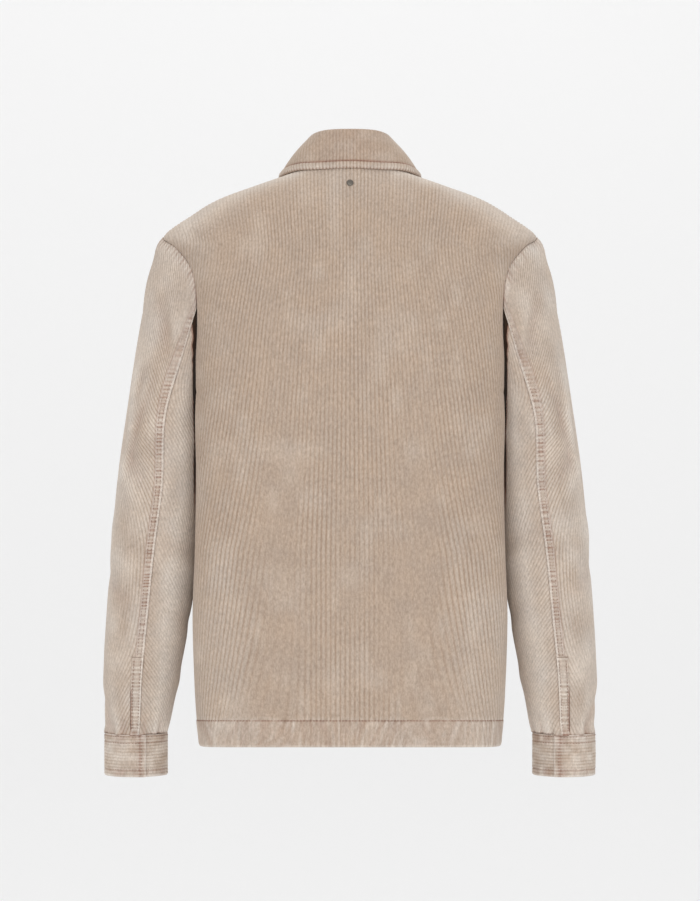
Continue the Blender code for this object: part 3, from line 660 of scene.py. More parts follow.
heights = rows_up("back_z")
shares = np.linspace(-1.0, 1.0, 641)
back_grid, back_ribs = [], []
for level in levels_at(heights, "back_z"):
    line = half_section(level, -1)
    row = evenly(line, np.abs(shares))
    row[:, 0] *= np.sign(shares)
    back_grid.append(row)
    z = body_sizes(level)["back_z"]
    wrapped = shares * lengths(line)[-1]
    wrapped = wrapped + (row[:, 0] * 1.04 - wrapped) * upright(z)
    back_ribs.append(wrapped / spread(z) - flare(wrapped, z))
back_grid, back_ribs = np.array(back_grid), np.array(back_ribs)
back_grid[:, :, 2] -= hem_drop(back_grid, heights - heights[0])
back_up = lengths(back_grid)
back_hem = (heights - heights[0])[:, None] + np.zeros_like(back_up)
back = cloth_panel(
    "back_cloth", back_grid, back_ribs, WALE, hem_walls(heights), back_relief,
    {"up": back_hem, "down": back_up[-1] - back_up},
)
sew_on(back, "back")
stitched = HEM_ROWS.index(31)
back_stitches = stitches("back_hem_stitches", [(back_grid[stitched], facing(back_grid)[stitched])])


# Fronts. Two plain panels with the same hem, cut with upright wales. The left one laps over the right one,
# and a row of stitching holds the facing inside each front edge.

FRONT_LAP = 0.018
LAP_EASE = 0.050
FRONT_ROWS = (0.006, 0.034)  # from the front edge to its two rows of stitching: the edge's and the facing's
SEAM_GAP = 0.0003
MIRROR = np.array([-1.0, 1.0, 1.0])
FRONT_CREASES = (
    (0.165, -0.215, 0.100, -0.315, 0.020, 0.0016),
    (0.150, -0.190, 0.085, -0.270, 0.013, -0.0014),
    (0.110, -0.350, 0.118, -0.630, 0.022, 0.0015),
    (0.072, -0.390, 0.080, -0.640, 0.018, -0.0013),
    (0.150, -0.430, 0.158, -0.640, 0.017, -0.0012),
)
FRONT_WEAR = (
    (0.090, -0.420, 0.035, 0.150, -0.45),
    (0.130, -0.200, 0.035, 0.070, -0.20),
)


def front_relief(seed):
    def relief(place):
        height, strength, wear_and_light, dark = body_relief(
            place, place["left"], FRONT_CREASES, FRONT_WEAR, (seed, seed, seed)
        )
        height -= 0.0010 * bump(place["left"], 0.0, 0.0025)
        dark += 0.5 * bump(place["left"], 0.0, 0.0016)
        for inset in FRONT_ROWS:
            groove = bump(place["right"], inset, 0.0011)
            height -= 0.0007 * groove
            dark += 0.4 * groove
        drawn = wander(place["point"][:, 2] / 0.006, seed + 1)
        height += 0.00030 * drawn * bump(place["right"], 0.004, 0.006)
        wear_and_light += 0.5 * bump(place["right"], 0.0, 0.0015)
        return height, strength, wear_and_light, dark
    return relief


def inset_path(lines, ways, inset, rise=0.0):
    """A path at an inset from the start of each line of points, lifted off the cloth, and its normals."""
    path, normals = [], []
    for line, way in zip(lines, ways):
        along = lengths(line)
        path.append(read_off(inset, along, line))
        normals.append(read_off(inset, along, way))
    return np.array(path) + rise * np.array(normals), np.array(normals)


heights = rows_up("front_z")
front_levels = levels_at(heights, "front_z")
for name, side, over in (("right", 1, 0.0), ("left", -1, CLOTH + HEM_LAYER + 3 * SEAM_GAP)):
    grid, ribs = [], []
    for level in front_levels:
        line = half_section(level, 1)
        line = np.vstack([line[:0:-1] * MIRROR, line])
        line = line[line[:, 0] >= -FRONT_LAP]
        row = evenly(line, np.linspace(1.0, 0.0, 341))
        row[:, 1] += over * eased((FRONT_LAP + LAP_EASE - row[:, 0]) / LAP_EASE)
        grid.append(row)
        along = lengths(row)
        ribs.append((along - np.interp(0.0, -row[:, 0], along)) / spread(body_sizes(level)["front_z"]))
    grid = np.array(grid)
    grid[:, :, 2] -= hem_drop(grid, heights - heights[0])
    up = lengths(grid)
    front = cloth_panel(
        "front_cloth_" + name, grid, np.array(ribs), WALE, hem_walls(heights), front_relief(21 + side),
        {"up": up, "down": up[-1] - up}, side,
    )
    sew_on(front, "front_" + name)
    normals = facing(grid)
    seams = [(grid[stitched], normals[stitched])]
    for inset in FRONT_ROWS:
        seams.append(inset_path(grid[stitched:-2, ::-1], normals[stitched:-2, ::-1], inset))
    front_stitches = stitches("front_stitches_" + name, seams, side)
upper_front = grid  # the left one, which comes last


# Sleeves. Each is a wide top panel, its wales along the arm, and a narrower under panel cut on a slant.
# They meet in a felled seam down the back of the arm and a plain one in front, and the head is set into the
# armhole.

SLEEVE_COLUMNS = ("z", "outer_x", "inner_x", "centre_y", "half_depth", "turn")
SLEEVE = {
    "under arm": (-0.290, 0.2705, 0.1760, 0.000, 0.0700, 7.0),
    "upper arm": (-0.370, 0.2815, 0.1790, 0.003, 0.0640, 10.0),
    "elbow":     (-0.450, 0.2890, 0.1850, 0.008, 0.0590, 5.5),
    "forearm":   (-0.530, 0.2955, 0.1935, 0.014, 0.0550, 4.5),
    "lower arm": (-0.600, 0.2995, 0.2070, 0.020, 0.0500, 6.5),
    "gather":    (-0.650, 0.2980, 0.2165, 0.024, 0.0440, 8.5),
    "cuff seam": (-0.6735, 0.2955, 0.2220, 0.026, 0.0370, 8.5),
}
SLEEVE_END = len(SLEEVE) + 1
CAP_REACH = 0.42
CAP_SWELL = 0.0060
CAP_CROWN = 0.0045
# Angles round a sleeve, in degrees: 0 is outside, 90 the back, 180 inside, 270 the front.
BACK_SEAM = 88.0
FRONT_SEAM = 246.5
CUFF_UPPER_END = 100.5  # the cuff's upper end, and where it rises over its other one
CUFF_RISE_FROM = 200.0
CUFF_RISE_TO = 385.0
SLEEVE_WALE = 0.0044  # across the arm: they lie closer where they slant
TOP_ROW_STEP = 0.0018
UNDER_ROW_STEP = 0.0024
# How far the wales run across for each step up the arm, by distance from the cuff
TOP_SLANT = (
    (0.00, -0.78), (0.07, -0.66), (0.12, -0.26), (0.17, -0.07), (0.21, 0.02), (0.26, 0.36), (0.31, 0.62),
    (0.39, 0.98), (0.65, 1.00),
)
UNDER_SLANT = ((0.00, 0.85), (0.10, 0.92), (0.17, 0.80), (0.22, 0.60), (0.50, 0.56))
FELL = 0.0096  # width of the felled seam
FELL_ROWS = (0.0032, 0.0078)  # its two rows of stitching
LADDER = 0.0046  # spacing of the puckers across it
FINE_THREAD = 0.0003
DOUBLE = 0.0030  # two layers sewn together: collar and cuffs
SLIT_TOP = -0.585  # from here down the under sleeve stands up a little beside the slit
INSIDE = 0.1885  # nearer the middle than this, an under sleeve lies against the body
SIDES = (("right", 1), ("left", -1))


def armhole_line(part):
    """The armhole's back or front from the shoulder tip down to the armpit."""
    line = []
    for level in np.linspace(list(BODY).index("tip"), list(BODY).index("armpit"), FINE):
        size = body_sizes(level)
        x, y = size[part + "_edge_x"], size[part + "_edge_y"]
        line.append((tucked(x, y, size), y, size["edge_z"]))
    return np.array(line)


def level_ring(section, angles):
    """A level oval ring of a sleeve or cuff."""
    size = dict(zip(SLEEVE_COLUMNS, section))
    turn = np.radians(angles + size["turn"])
    middle = (size["outer_x"] + size["inner_x"]) / 2
    half = (size["outer_x"] - size["inner_x"]) / 2
    x = middle + half * np.cos(turn)
    y = size["centre_y"] - size["half_depth"] * np.sin(turn)
    return np.stack([x, y, np.full_like(x, size["z"])], axis=1)


def sleeve_grid(angles, along):
    """A sleeve's outer face. along runs from 0, the armhole, to the number of the last ring."""
    turn = np.mod(angles, 360.0)
    on_back = evenly(armhole_line("back"), np.clip(turn / 180.0, 0.0, 1.0))
    on_front = evenly(armhole_line("front"), np.clip(2.0 - turn / 180.0, 0.0, 1.0))
    top = np.where((turn <= 180.0)[:, None], on_back, on_front)
    rings = [level_ring(section, angles) for section in SLEEVE.values()]
    cap = top + (rings[0] - top) * CAP_REACH
    cap[:, 0] += CAP_SWELL * np.cos(np.radians(angles)).clip(0.0)
    knots = np.array([top, cap, *rings])
    grid = through(range(len(knots)), knots, along)
    crown = np.sin(np.pi * np.clip(along, 0.0, 1.0))
    grid[:, :, 0] += CAP_CROWN * crown[:, None] * np.cos(np.radians(angles)).clip(0.0)
    return grid


def armhole_relief(place, seed):
    """Height, wear and recess where a sleeve is eased into the armhole: a rolled edge with puckers."""
    away = place["from_top"]
    drawn = 0.6 * np.cos(2 * np.pi * place["angle"] / 4.6) + 0.6 * wander(place["angle"] / 3.5, seed)
    near = bump(away, 0.003, 0.0085)
    low = deep_seam(place["point"][:, 2])
    height = -(0.0001 + 0.0005 * low) * bump(away, 0.0, 0.0022) + 0.0007 * bump(away, 0.0070, 0.0050)
    height += 0.00035 * drawn * near
    height += 0.0030 * bump(away, 0.014, 0.012) * np.cos(np.radians(place["angle"])).clip(0.0)
    wear_and_light = 0.45 * near * (0.6 + 0.4 * drawn).clip(0.0)
    # The seam is a dark line, with painted shade darkening it in its lower part, where it lies deep; the
    # troughs of the puckers are darker too.
    dark = (0.12 + 0.25 * low) * bump(away, 0.0, 0.0012) + 0.40 * near * (-drawn).clip(0.0)
    return height, wear_and_light, dark


def ladder(z, seed):
    """Cross puckers along a stitched seam, -1 to 1: about one to a stitch, in looser and tighter runs."""
    phase = z / LADDER + 0.8 * wander(z / 0.019, seed)
    rungs = 0.75 * np.cos(2 * np.pi * phase) + 0.45 * wander(z / 0.0040, seed + 100)
    return rungs * (0.80 + 0.35 * wander(z / 0.028, seed + 200))


# Folds round the arm: from angle and z, to angle and z, width and height. An angle counts 0.9 mm a degree.
ARM = 0.0009
TOP_CREASES = {
    1: (
        (38.0, -0.150, 72.0, -0.218, 0.008, -0.0024),
        (48.0, -0.150, 80.0, -0.225, 0.007, 0.0018),
        (22.0, -0.235, 32.0, -0.305, 0.007, 0.0022),
        (34.0, -0.240, 44.0, -0.305, 0.007, -0.0020),
        (46.0, -0.235, 18.0, -0.370, 0.006, 0.0020),
        (56.0, -0.240, 28.0, -0.375, 0.006, -0.0018),
        (20.0, -0.325, 58.0, -0.365, 0.010, -0.0020),
        (12.0, -0.345, 52.0, -0.388, 0.009, 0.0018),
        (5.0, -0.440, 70.0, -0.470, 0.011, 0.0016),
        (-10.0, -0.465, 60.0, -0.500, 0.010, -0.0018),
        (-60.0, -0.400, 20.0, -0.440, 0.014, 0.0018),
        (-90.0, -0.430, -20.0, -0.455, 0.012, -0.0022),
        (-100.0, -0.500, -30.0, -0.480, 0.013, 0.0018),
        (20.0, -0.560, 70.0, -0.610, 0.013, 0.0014),
        (-70.0, -0.590, 0.0, -0.620, 0.013, 0.0016),
        (-40.0, -0.615, 30.0, -0.650, 0.010, -0.0016),
        (15.0, -0.640, 35.0, -0.672, 0.006, -0.0020),
        (40.0, -0.645, 50.0, -0.672, 0.005, 0.0014),
    ),
    -1: (
        (36.0, -0.152, 70.0, -0.222, 0.008, -0.0024),
        (47.0, -0.152, 79.0, -0.230, 0.007, 0.0018),
        (20.0, -0.230, 31.0, -0.302, 0.008, 0.0022),
        (33.0, -0.238, 43.0, -0.308, 0.007, -0.0020),
        (48.0, -0.240, 20.0, -0.365, 0.006, 0.0020),
        (58.0, -0.245, 30.0, -0.370, 0.006, -0.0018),
        (22.0, -0.320, 60.0, -0.370, 0.010, -0.0020),
        (14.0, -0.342, 54.0, -0.392, 0.009, 0.0018),
        (0.0, -0.450, 75.0, -0.475, 0.012, 0.0016),
        (-20.0, -0.470, 65.0, -0.515, 0.010, -0.0016),
        (-70.0, -0.395, 10.0, -0.435, 0.014, 0.0018),
        (-95.0, -0.425, -25.0, -0.460, 0.012, -0.0022),
        (-90.0, -0.505, -30.0, -0.485, 0.013, 0.0018),
        (15.0, -0.570, 72.0, -0.600, 0.012, 0.0014),
        (-70.0, -0.585, 0.0, -0.625, 0.013, 0.0016),
        (-45.0, -0.610, 25.0, -0.645, 0.010, -0.0016),
        (12.0, -0.645, 30.0, -0.672, 0.006, -0.0020),
        (36.0, -0.640, 48.0, -0.672, 0.005, 0.0014),
    ),
}
UNDER_CREASES = {
    1: (
        (105.0, -0.330, 150.0, -0.300, 0.012, 0.0014),
        (100.0, -0.430, 165.0, -0.455, 0.012, -0.0018),
        (110.0, -0.455, 200.0, -0.480, 0.013, 0.0018),
        (120.0, -0.520, 220.0, -0.540, 0.013, -0.0016),
        (150.0, -0.600, 230.0, -0.620, 0.013, 0.0016),
        (180.0, -0.300, 235.0, -0.340, 0.013, -0.0016),
    ),
    -1: (
        (108.0, -0.340, 150.0, -0.305, 0.012, 0.0014),
        (100.0, -0.440, 165.0, -0.460, 0.012, -0.0018),
        (112.0, -0.470, 200.0, -0.485, 0.013, 0.0018),
        (120.0, -0.530, 220.0, -0.545, 0.013, -0.0016),
        (150.0, -0.605, 230.0, -0.625, 0.013, 0.0016),
        (180.0, -0.305, 235.0, -0.345, 0.013, -0.0016),
    ),
}


def cuff_lift(turn):
    """How far the cuff lies outside the sleeve, at an angle that goes on past 360 to its upper end."""
    return (DOUBLE + 2 * SEAM_GAP) * eased((turn - CUFF_RISE_FROM) / (CUFF_RISE_TO - CUFF_RISE_FROM))


def sleeve_relief(place, front, folds, seed, worn_and_lit):
    """What both panels of a sleeve share: the head's roll, folds, the front seam and gathers at the cuff.

    The last argument says how pale it is all over and in patches, then how much rubbing and painted light
    pale the ridges of the folds and how much painted shade darkens their troughs.
    """
    plain, patchy, ridge, trough_shade = worn_and_lit
    z, angle, end = place["point"][:, 2], place["angle"], place["to_end"]
    height, wear_and_light, dark = armhole_relief(place, seed)
    folded = creases(angle * ARM, z, [(a * ARM, b, c * ARM, d, w, h) for a, b, c, d, w, h in folds])
    gather = bump(end, 0.0, 0.020) * wander(angle / 8.0, seed + 6)
    lift = cuff_lift(np.where(angle < CUFF_UPPER_END + 1.0, angle + 360.0, angle))
    height += folded + 0.0014 * gather + (lift - 0.0004) * bump(end, 0.0, 0.0075)
    height -= 0.0010 * bump(front, 0.0, 0.0025)
    # Painted shade in the troughs of the folds; the front seam is a dark line.
    dark += trough_shade * (-folded).clip(0.0) + 0.5 * bump(front, 0.0, 0.0016)
    dark += 0.60 * bump(end, 0.0, 0.0013) + 0.30 * (-gather).clip(0.0)
    wear_and_light += plain + 0.25 * gather.clip(0.0) + patchy * patches(angle / 18.0, z / 0.03, seed + 8)
    # Paler on the ridges of the folds, partly rubbed and partly painted light.
    wear_and_light += ridge * folded.clip(0.0)
    return height, wear_and_light, dark


def top_relief(side):
    def relief(place):
        z, angle, away = place["point"][:, 2], place["angle"], place["left"]
        height, wear_and_light, dark = sleeve_relief(
            place, place["right"], TOP_CREASES[side], 41 + side, (0.34, 0.20, 150.0, 75.0)
        )
        band = 1.0 - eased((away - FELL + 0.001) / 0.0016)
        drawn = ladder(z, 43 + side)
        near = band + 0.5 * bump(away, FELL, 0.005) * (1.0 - band)
        height += 0.0010 * band + 0.00035 * drawn * near - 0.0004 * bump(away, 0.0, 0.0008)
        between = bump(away, 0.0052, 0.0028)
        dark += (0.30 + 0.55 * between) * band * (-drawn).clip(0.0, 0.9)
        dark += 0.35 * bump(away, FELL + 0.0006, 0.0010)
        wear_and_light += 0.45 * band * drawn.clip(0.0) + 1.10 * bump(away, 0.0009, 0.0016)
        # Pale along the folded edge of the felled band; paler down the outside of the arm is a painted
        # sheen.
        wear_and_light += 0.45 * bump(away, FELL - 0.0010, 0.0009) + 0.22 * bump(angle, 16.0, 18.0)
        for inset in FELL_ROWS:
            groove = bump(away, inset, 0.0009)
            height -= 0.0005 * groove
            dark += 0.25 * groove
        strength = 0.36 + 0.28 * patches(angle / 30.0, z / 0.06, 51 + side) + 0.5 * bump(angle, 75.0, 28.0)
        strength += 0.50 * eased((z + 0.45) / 0.10) * bump(angle, 55.0, 50.0)
        strength += 0.15 * patches(angle / 6.0, z / 0.012, 53 + side)
        return height, np.clip(strength, 0.1, 1.0) * (1.0 - 0.75 * band), wear_and_light, dark
    return relief


def under_relief(side):
    def relief(place):
        x, z, angle = place["point"][:, 0], place["point"][:, 2], place["angle"]
        height, wear_and_light, dark = sleeve_relief(
            place, place["left"], UNDER_CREASES[side], 61 + side, (0.40, 0.18, 80.0, 50.0)
        )
        seam = place["right"]
        height += 0.0003 * ladder(z, 43 + side) * bump(seam, 0.0, 0.006) - 0.0004 * bump(seam, 0.0, 0.0022)
        height += 0.0011 * bump(seam, 0.0, 0.005) * eased((SLIT_TOP - z) / 0.010)
        dark += 0.15 * bump(seam, 0.0, 0.0016)
        # Painted light: paler towards the inside of the arm, to lift its shade beside the body.
        wear_and_light += 0.62 * eased((angle - 94.0) / 32.0)
        # Painted shade: near black where the sleeve lies against the body, on the back half of the arm,
        # above the slit.
        beside_body_shade = eased((INSIDE - x) / 0.0012) * eased((150.0 - angle) / 15.0)
        dark += 1.2 * beside_body_shade * eased((z + 0.62) / 0.05)
        strength = np.clip(0.68 + 0.30 * patches(angle / 30.0, z / 0.06, 71 + side), 0.1, 1.0)
        return height, strength, wear_and_light, dark
    return relief


def sleeve_panel(part, name, side, angles, row_step, slant, relief):
    """A sleeve panel and the grid of its outer face. Rows run up the arm, columns towards its outside."""
    fine = np.linspace(0.0, SLEEVE_END, 801)
    middle = lengths(sleeve_grid(np.array([angles.mean()]), fine))[:, 0]
    rows = int(middle[-1] / row_step)
    along = np.interp(np.linspace(middle[-1], 0.0, rows), middle, fine)
    along[0], along[-1] = SLEEVE_END, 0.0
    grid = sleeve_grid(angles, along)
    across = np.swapaxes(lengths(np.swapaxes(grid, 0, 1)), 0, 1)
    across = across - across[:, [across.shape[1] // 2]]
    up = lengths(grid)
    climb = up.mean(axis=1)
    opened = 1.0 + 0.25 * eased((climb - 0.36) / 0.10)
    lean = np.interp(climb, *np.array(slant).T) / opened
    shift = np.r_[0.0, np.cumsum(np.diff(climb) * (lean[1:] + lean[:-1]) / 2)]
    ribs = across / opened[:, None] - shift[:, None]
    fields = {"from_top": up[-1] - up, "to_end": up, "angle": np.broadcast_to(angles, up.shape)}
    piece = cloth_panel(f"{part}_cloth_{name}", grid, ribs, SLEEVE_WALE, CLOTH, relief(side), fields, side)
    sew_on(piece, f"{part}_{name}")
    return piece, grid


top_angles = np.linspace(BACK_SEAM, FRONT_SEAM - 360.0, 401)
under_angles = np.linspace(FRONT_SEAM, BACK_SEAM, 301)
for name, side in SIDES:
    top, grid = sleeve_panel("sleeve_top", name, side, top_angles, TOP_ROW_STEP, TOP_SLANT, top_relief)
    normals = facing(grid)
    seams = [inset_path(grid[2:-4], normals[2:-4], inset, 0.0006) for inset in FELL_ROWS]
    seam_stitches = stitches("sleeve_seam_stitches_" + name, seams, side, radius=FINE_THREAD)
    under, grid = sleeve_panel(
        "sleeve_under", name, side, under_angles, UNDER_ROW_STEP, UNDER_SLANT, under_relief
    )


# Plackets. A narrow strip that binds the slit at the lower end of the felled seam, its wales across it,
# stitched down both edges and closed at the top with a bar tack.

PLACKET_FROM = 72.0
PLACKET_TOP = -0.578
PLACKET_BOTTOM = -0.6715
STRIP = 0.0015
PLACKET_WALE = 0.0040
PLACKET_ROWS = (3, 13)  # columns of its grid that are stitched


def placket_relief(side):
    def relief(place):
        z = place["point"][:, 2]
        drawn = ladder(z, 81 + side)
        sewn = bump(place["to_seam"], 0.0034, 0.0010) + bump(place["to_slit"], 0.0032, 0.0010)
        height = 0.0003 * drawn + 0.0004 * bump(place["to_seam"], 0.0010, 0.0014) - 0.0005 * sewn
        low = eased((PLACKET_TOP - 0.035 - z) / 0.01)
        dark = 0.50 * (-drawn).clip(0.0) * (0.30 + 0.70 * sewn)
        # Painted shade in the slit, near black in its lower part.
        dark += (0.1 + 1.1 * low) * bump(place["to_slit"], 0.0, 0.0012)
        wear_and_light = 0.42 + 0.50 * drawn.clip(0.0) + 0.8 * bump(place["to_seam"], 0.0009, 0.0014)
        return height, np.full_like(z, 0.25), wear_and_light, dark
    return relief


fine = np.linspace(SLEEVE_END - 3, SLEEVE_END, 401)
drop = sleeve_grid(np.array([BACK_SEAM]), fine)[:, 0, 2]
strip_along = np.interp(np.linspace(-PLACKET_BOTTOM, -PLACKET_TOP, 221), -drop, fine)
strip_angles = np.linspace(BACK_SEAM, PLACKET_FROM, 17)
base = sleeve_grid(strip_angles, strip_along)
out = facing(base)
base = base + out * (SEAM_GAP + STRIP)
# The strip's wales run across it, so its columns run up it and its rows towards the seam.
strip = np.swapaxes(base, 0, 1)[::-1]
strip_up = np.broadcast_to(lengths(base)[:, 8][None], strip.shape[:2])
from_slit = lengths(strip)
for name, side in SIDES:
    placket = cloth_panel(
        "placket_cloth_" + name, strip, strip_up, PLACKET_WALE, STRIP, placket_relief(side),
        {"to_slit": from_slit, "to_seam": from_slit[-1] - from_slit}, side,
    )
    sew_on(placket, "placket_" + name)
    rows = [(base[4:-4, k] + 0.0002 * out[4:-4, k], out[4:-4, k]) for k in PLACKET_ROWS]
    strip_stitches = stitches("placket_stitches_" + name, rows, side, radius=FINE_THREAD)
    tack_path = base[-3, ::-1] + 0.0003 * out[-3, ::-1]
    tack = stitches(
        "bar_tack_" + name, [(tack_path, out[-3, ::-1])], side, length=0.0016, pitch=0.0015, radius=0.00026
    )


# Cuffs. A straight band of two layers with its wales round the wrist, lapped over its own end at the back
# of the arm and stitched along all its edges.

CUFF_TOP = -0.674
CUFF_BOTTOM = -0.725
CUFF_WALE = 0.0038
CUFF_UNDER_END = 57.5  # the angle where its lower end starts, under the upper one
CUFF_LINES = 41  # of mesh, from its lower edge to its upper
CUFF_ROWS = (38, 32, 7)  # those that are stitched
CUFF_END_ROW = 0.0078  # from its upper end to the stitching there


def cuff_relief(side):
    def relief(place):
        low, high, end = place["left"], place["right"], place["to_end"]
        drawn = wander(place["round"] / 0.0058, 91 + side)
        edges = bump(high, 0.005, 0.006) + bump(low, 0.005, 0.006)
        height = 0.0004 * drawn * edges
        height += 0.0005 * wander(low / 0.0060, 93 + side) * bump(end, 0.004, 0.006)
        dark = 0.35 * (-drawn).clip(0.0) * edges
        wear_and_light = 0.42 + 0.60 * (bump(low, 0.0, 0.0016) + bump(high, 0.0, 0.0016) + bump(end, 0.0, 0.0018))
        for away, inset in ((high, 0.0022), (high, 0.0096), (low, 0.0080), (end, CUFF_END_ROW)):
            groove = bump(away, inset, 0.0008)
            height -= 0.0004 * groove
            dark += 0.50 * groove * (0.6 + 0.4 * drawn)
        across = 0.5 + 0.5 * np.cos(2 * np.pi * low / CUFF_WALE)
        dark += 0.45 * bump(end, 0.0070, 0.0040) * across
        height -= 0.0007 * (bump(low, 0.0, 0.0010) + 0.4 * bump(high, 0.0, 0.0010) + bump(end, 0.0, 0.0010))
        wear_and_light += 0.35 * patches(place["round"] / 0.011, low / 0.008, 95 + side)
        strength = 0.62 + 0.45 * patches(place["round"] / 0.014, low / 0.008, 97 + side)
        strength = np.clip(strength + 0.35 * bump(end, 0.240, 0.030), 0.1, 1.0)
        return height, strength, wear_and_light, np.minimum(dark, 0.85)
    return relief


cuff_angles = np.linspace(CUFF_UNDER_END, 360.0 + CUFF_UPPER_END, 181)
cuff_sizes = SLEEVE["cuff seam"][1:]
rings = np.array(
    [level_ring((z, *cuff_sizes), cuff_angles) for z in np.linspace(CUFF_BOTTOM, CUFF_TOP, CUFF_LINES)]
)
out = -facing(rings)
rings = rings + out * cuff_lift(cuff_angles)[None, :, None]
cuff_grid = np.swapaxes(rings, 0, 1)
cuff_ribs = lengths(rings).T
wobble = 0.0007 * wander(np.arange(len(cuff_angles)) / 7.0, 99)[:, None]
cuff_ribs = cuff_ribs + wobble * np.sin(np.pi * cuff_ribs / cuff_ribs[:, -1:])
cuff_round = lengths(cuff_grid)
near_end = int(np.searchsorted(cuff_round[:, 0], cuff_round[-1, 0] - CUFF_END_ROW))
for name, side in SIDES:
    cuff = cloth_panel(
        "cuff_cloth_" + name, cuff_grid, cuff_ribs, CUFF_WALE, DOUBLE, cuff_relief(side),
        {"round": cuff_round, "to_end": cuff_round[-1] - cuff_round}, side,
    )
    sew_on(cuff, "cuff_" + name)
    rows = [(rings[k, 2:-4] - 0.0002 * out[k, 2:-4], out[k, 2:-4]) for k in CUFF_ROWS]
    rows.append((rings[7:34, near_end] - 0.0002 * out[7:34, near_end], out[7:34, near_end]))
    cuff_stitches = stitches("cuff_stitches_" + name, rows, side, radius=FINE_THREAD)


# Collar. A stand sewn to the neck and a leaf that folds over it, each of two layers. The leaf is stitched a
# finger's width inside its edge, which leaves a raised strip there.

COLLAR = {
    # angle from the centre of the back, then roll x, y and z, edge x and y, and the edge's clearance
    "back":       (0.0, 0.0000, -0.0600, 0.0465, 0.0000, -0.0710, 0.0012),
    "back side":  (42.0, 0.0325, -0.0490, 0.0455, 0.0505, -0.0622, 0.0012),
    "side":       (84.0, 0.0475, -0.0060, 0.0370, 0.0815, -0.0230, 0.0008),
    "front side": (125.0, 0.0430, 0.0420, 0.0100, 0.0845, 0.0380, 0.0015),
    "point":      (160.0, 0.0190, 0.0700, -0.0250, 0.0640, 0.0840, 0.0020),
    "front":      (176.0, 0.0050, 0.0765, -0.0390, 0.0480, 0.0920, 0.0020),
}
ROLL_RADIUS = 0.0015
LEAF_BELLY = 0.0008
SIDE_BELLY = 0.0026  # how much more the cloth swells beside the neck
SETTLED = 0.35  # share of the solid's clearance left under the leaf's edge
NECK_EASE = 0.0006
LEAF_STRIP = 0.0080
LEAF_ROW = 0.0086  # from its edge to the stitching that ends the raised strip


def on_body(x, y, off):
    """A point above the shoulder on the wearer's right, moved out from the cloth under it."""
    step = 0.002

    def height(at_x, at_y):
        radius, z = [], []
        for line in shoulder_lines[-1 if at_y < 0.0 else 1]:
            turn = np.arctan2(line[:, 0], np.abs(line[:, 1]))
            here = np.arctan2(at_x, abs(at_y))
            radius.append(np.interp(here, turn, np.hypot(line[:, 0], line[:, 1])))
            z.append(np.interp(here, turn, line[:, 2]))
        return np.interp(np.hypot(at_x, at_y), radius[::-1], z[::-1])

    z = height(x, y)
    slope_x = (height(x + step, y) - height(abs(x - step), y)) / (2 * step)
    slope_y = (height(x, y + step) - height(x, y - step)) / (2 * step)
    return np.array([x, y, z]) + unit(np.array([-slope_x, -slope_y, 1.0])) * off


shoulder_levels = np.linspace(list(BODY).index("arm top"), LAST_LEVEL, 45)
shoulder_lines = {side: [half_section(level, side) for level in shoulder_levels] for side in (-1, 1)}
table = np.array(list(COLLAR.values()))
table = np.vstack([table[:0:-1] * np.array([-1.0, -1.0, 1.0, 1.0, -1.0, 1.0, 1.0]), table])
collar_angles = np.linspace(-COLLAR["front"][0], COLLAR["front"][0], 121)
sizes = through(table[:, 0], table[:, 1:], collar_angles)
ring = np.vstack([half_section(LAST_LEVEL, -1), half_section(LAST_LEVEL, 1)[::-1][1:]])
turned = np.where(collar_angles < 0.0, -1.0, 1.0)
neck = evenly(ring, np.abs(collar_angles) / 180.0)
neck[:, 0] *= turned
edge = np.array([on_body(abs(x), y, DOUBLE + SETTLED * clear) for x, y, clear in sizes[:, 3:]])
edge[:, 0] *= turned
roll = sizes[:, :3]
up = unit(roll - neck)
along = unit(np.gradient(roll, axis=0))
out = unit(np.cross(along, up))
seat = neck + up * (SEAM_GAP * 2 + NECK_EASE * eased(neck[:, 1:2] / size_of("neck", "front_depth")))


def finer(grid, count):
    """A grid with count points along each row, smooth between those it had."""
    shares = lengths(grid[len(grid) // 2])
    shares = shares / shares[-1]
    return np.swapaxes(through(shares, np.swapaxes(grid, 0, 1), np.linspace(0.0, 1.0, count)), 0, 1)


def stand_relief(place):
    height = -0.0006 * (bump(place["up"], 0.0, 0.0015) + bump(place["down"], 0.0, 0.0015))
    groove = bump(place["up"], 0.0050, 0.0010) + bump(place["down"], 0.0050, 0.0010)
    strength = np.full_like(height, 0.8)
    return height - 0.0005 * groove, strength, 0.1 * strength, 0.3 * groove


# The stand's wales show on its inner side, where the neck is.
stand_rows = np.array([seat + (roll - seat) * share - out * DOUBLE for share in np.linspace(0.0, 1.0, 15)])
stand_rows = finer(stand_rows[:, ::-1], 401)
stand_up = lengths(stand_rows)
stand_round = lengths(np.swapaxes(stand_rows, 0, 1))
stand_ribs = np.broadcast_to(stand_round[:, 7][None], stand_up.shape)
stand = cloth_panel(
    "collar_stand_cloth", stand_rows, stand_ribs - stand_ribs.mean(), WALE, DOUBLE, stand_relief,
    {"up": stand_up, "down": stand_up[-1] - stand_up},
)
sew_on(stand, "collar_stand")


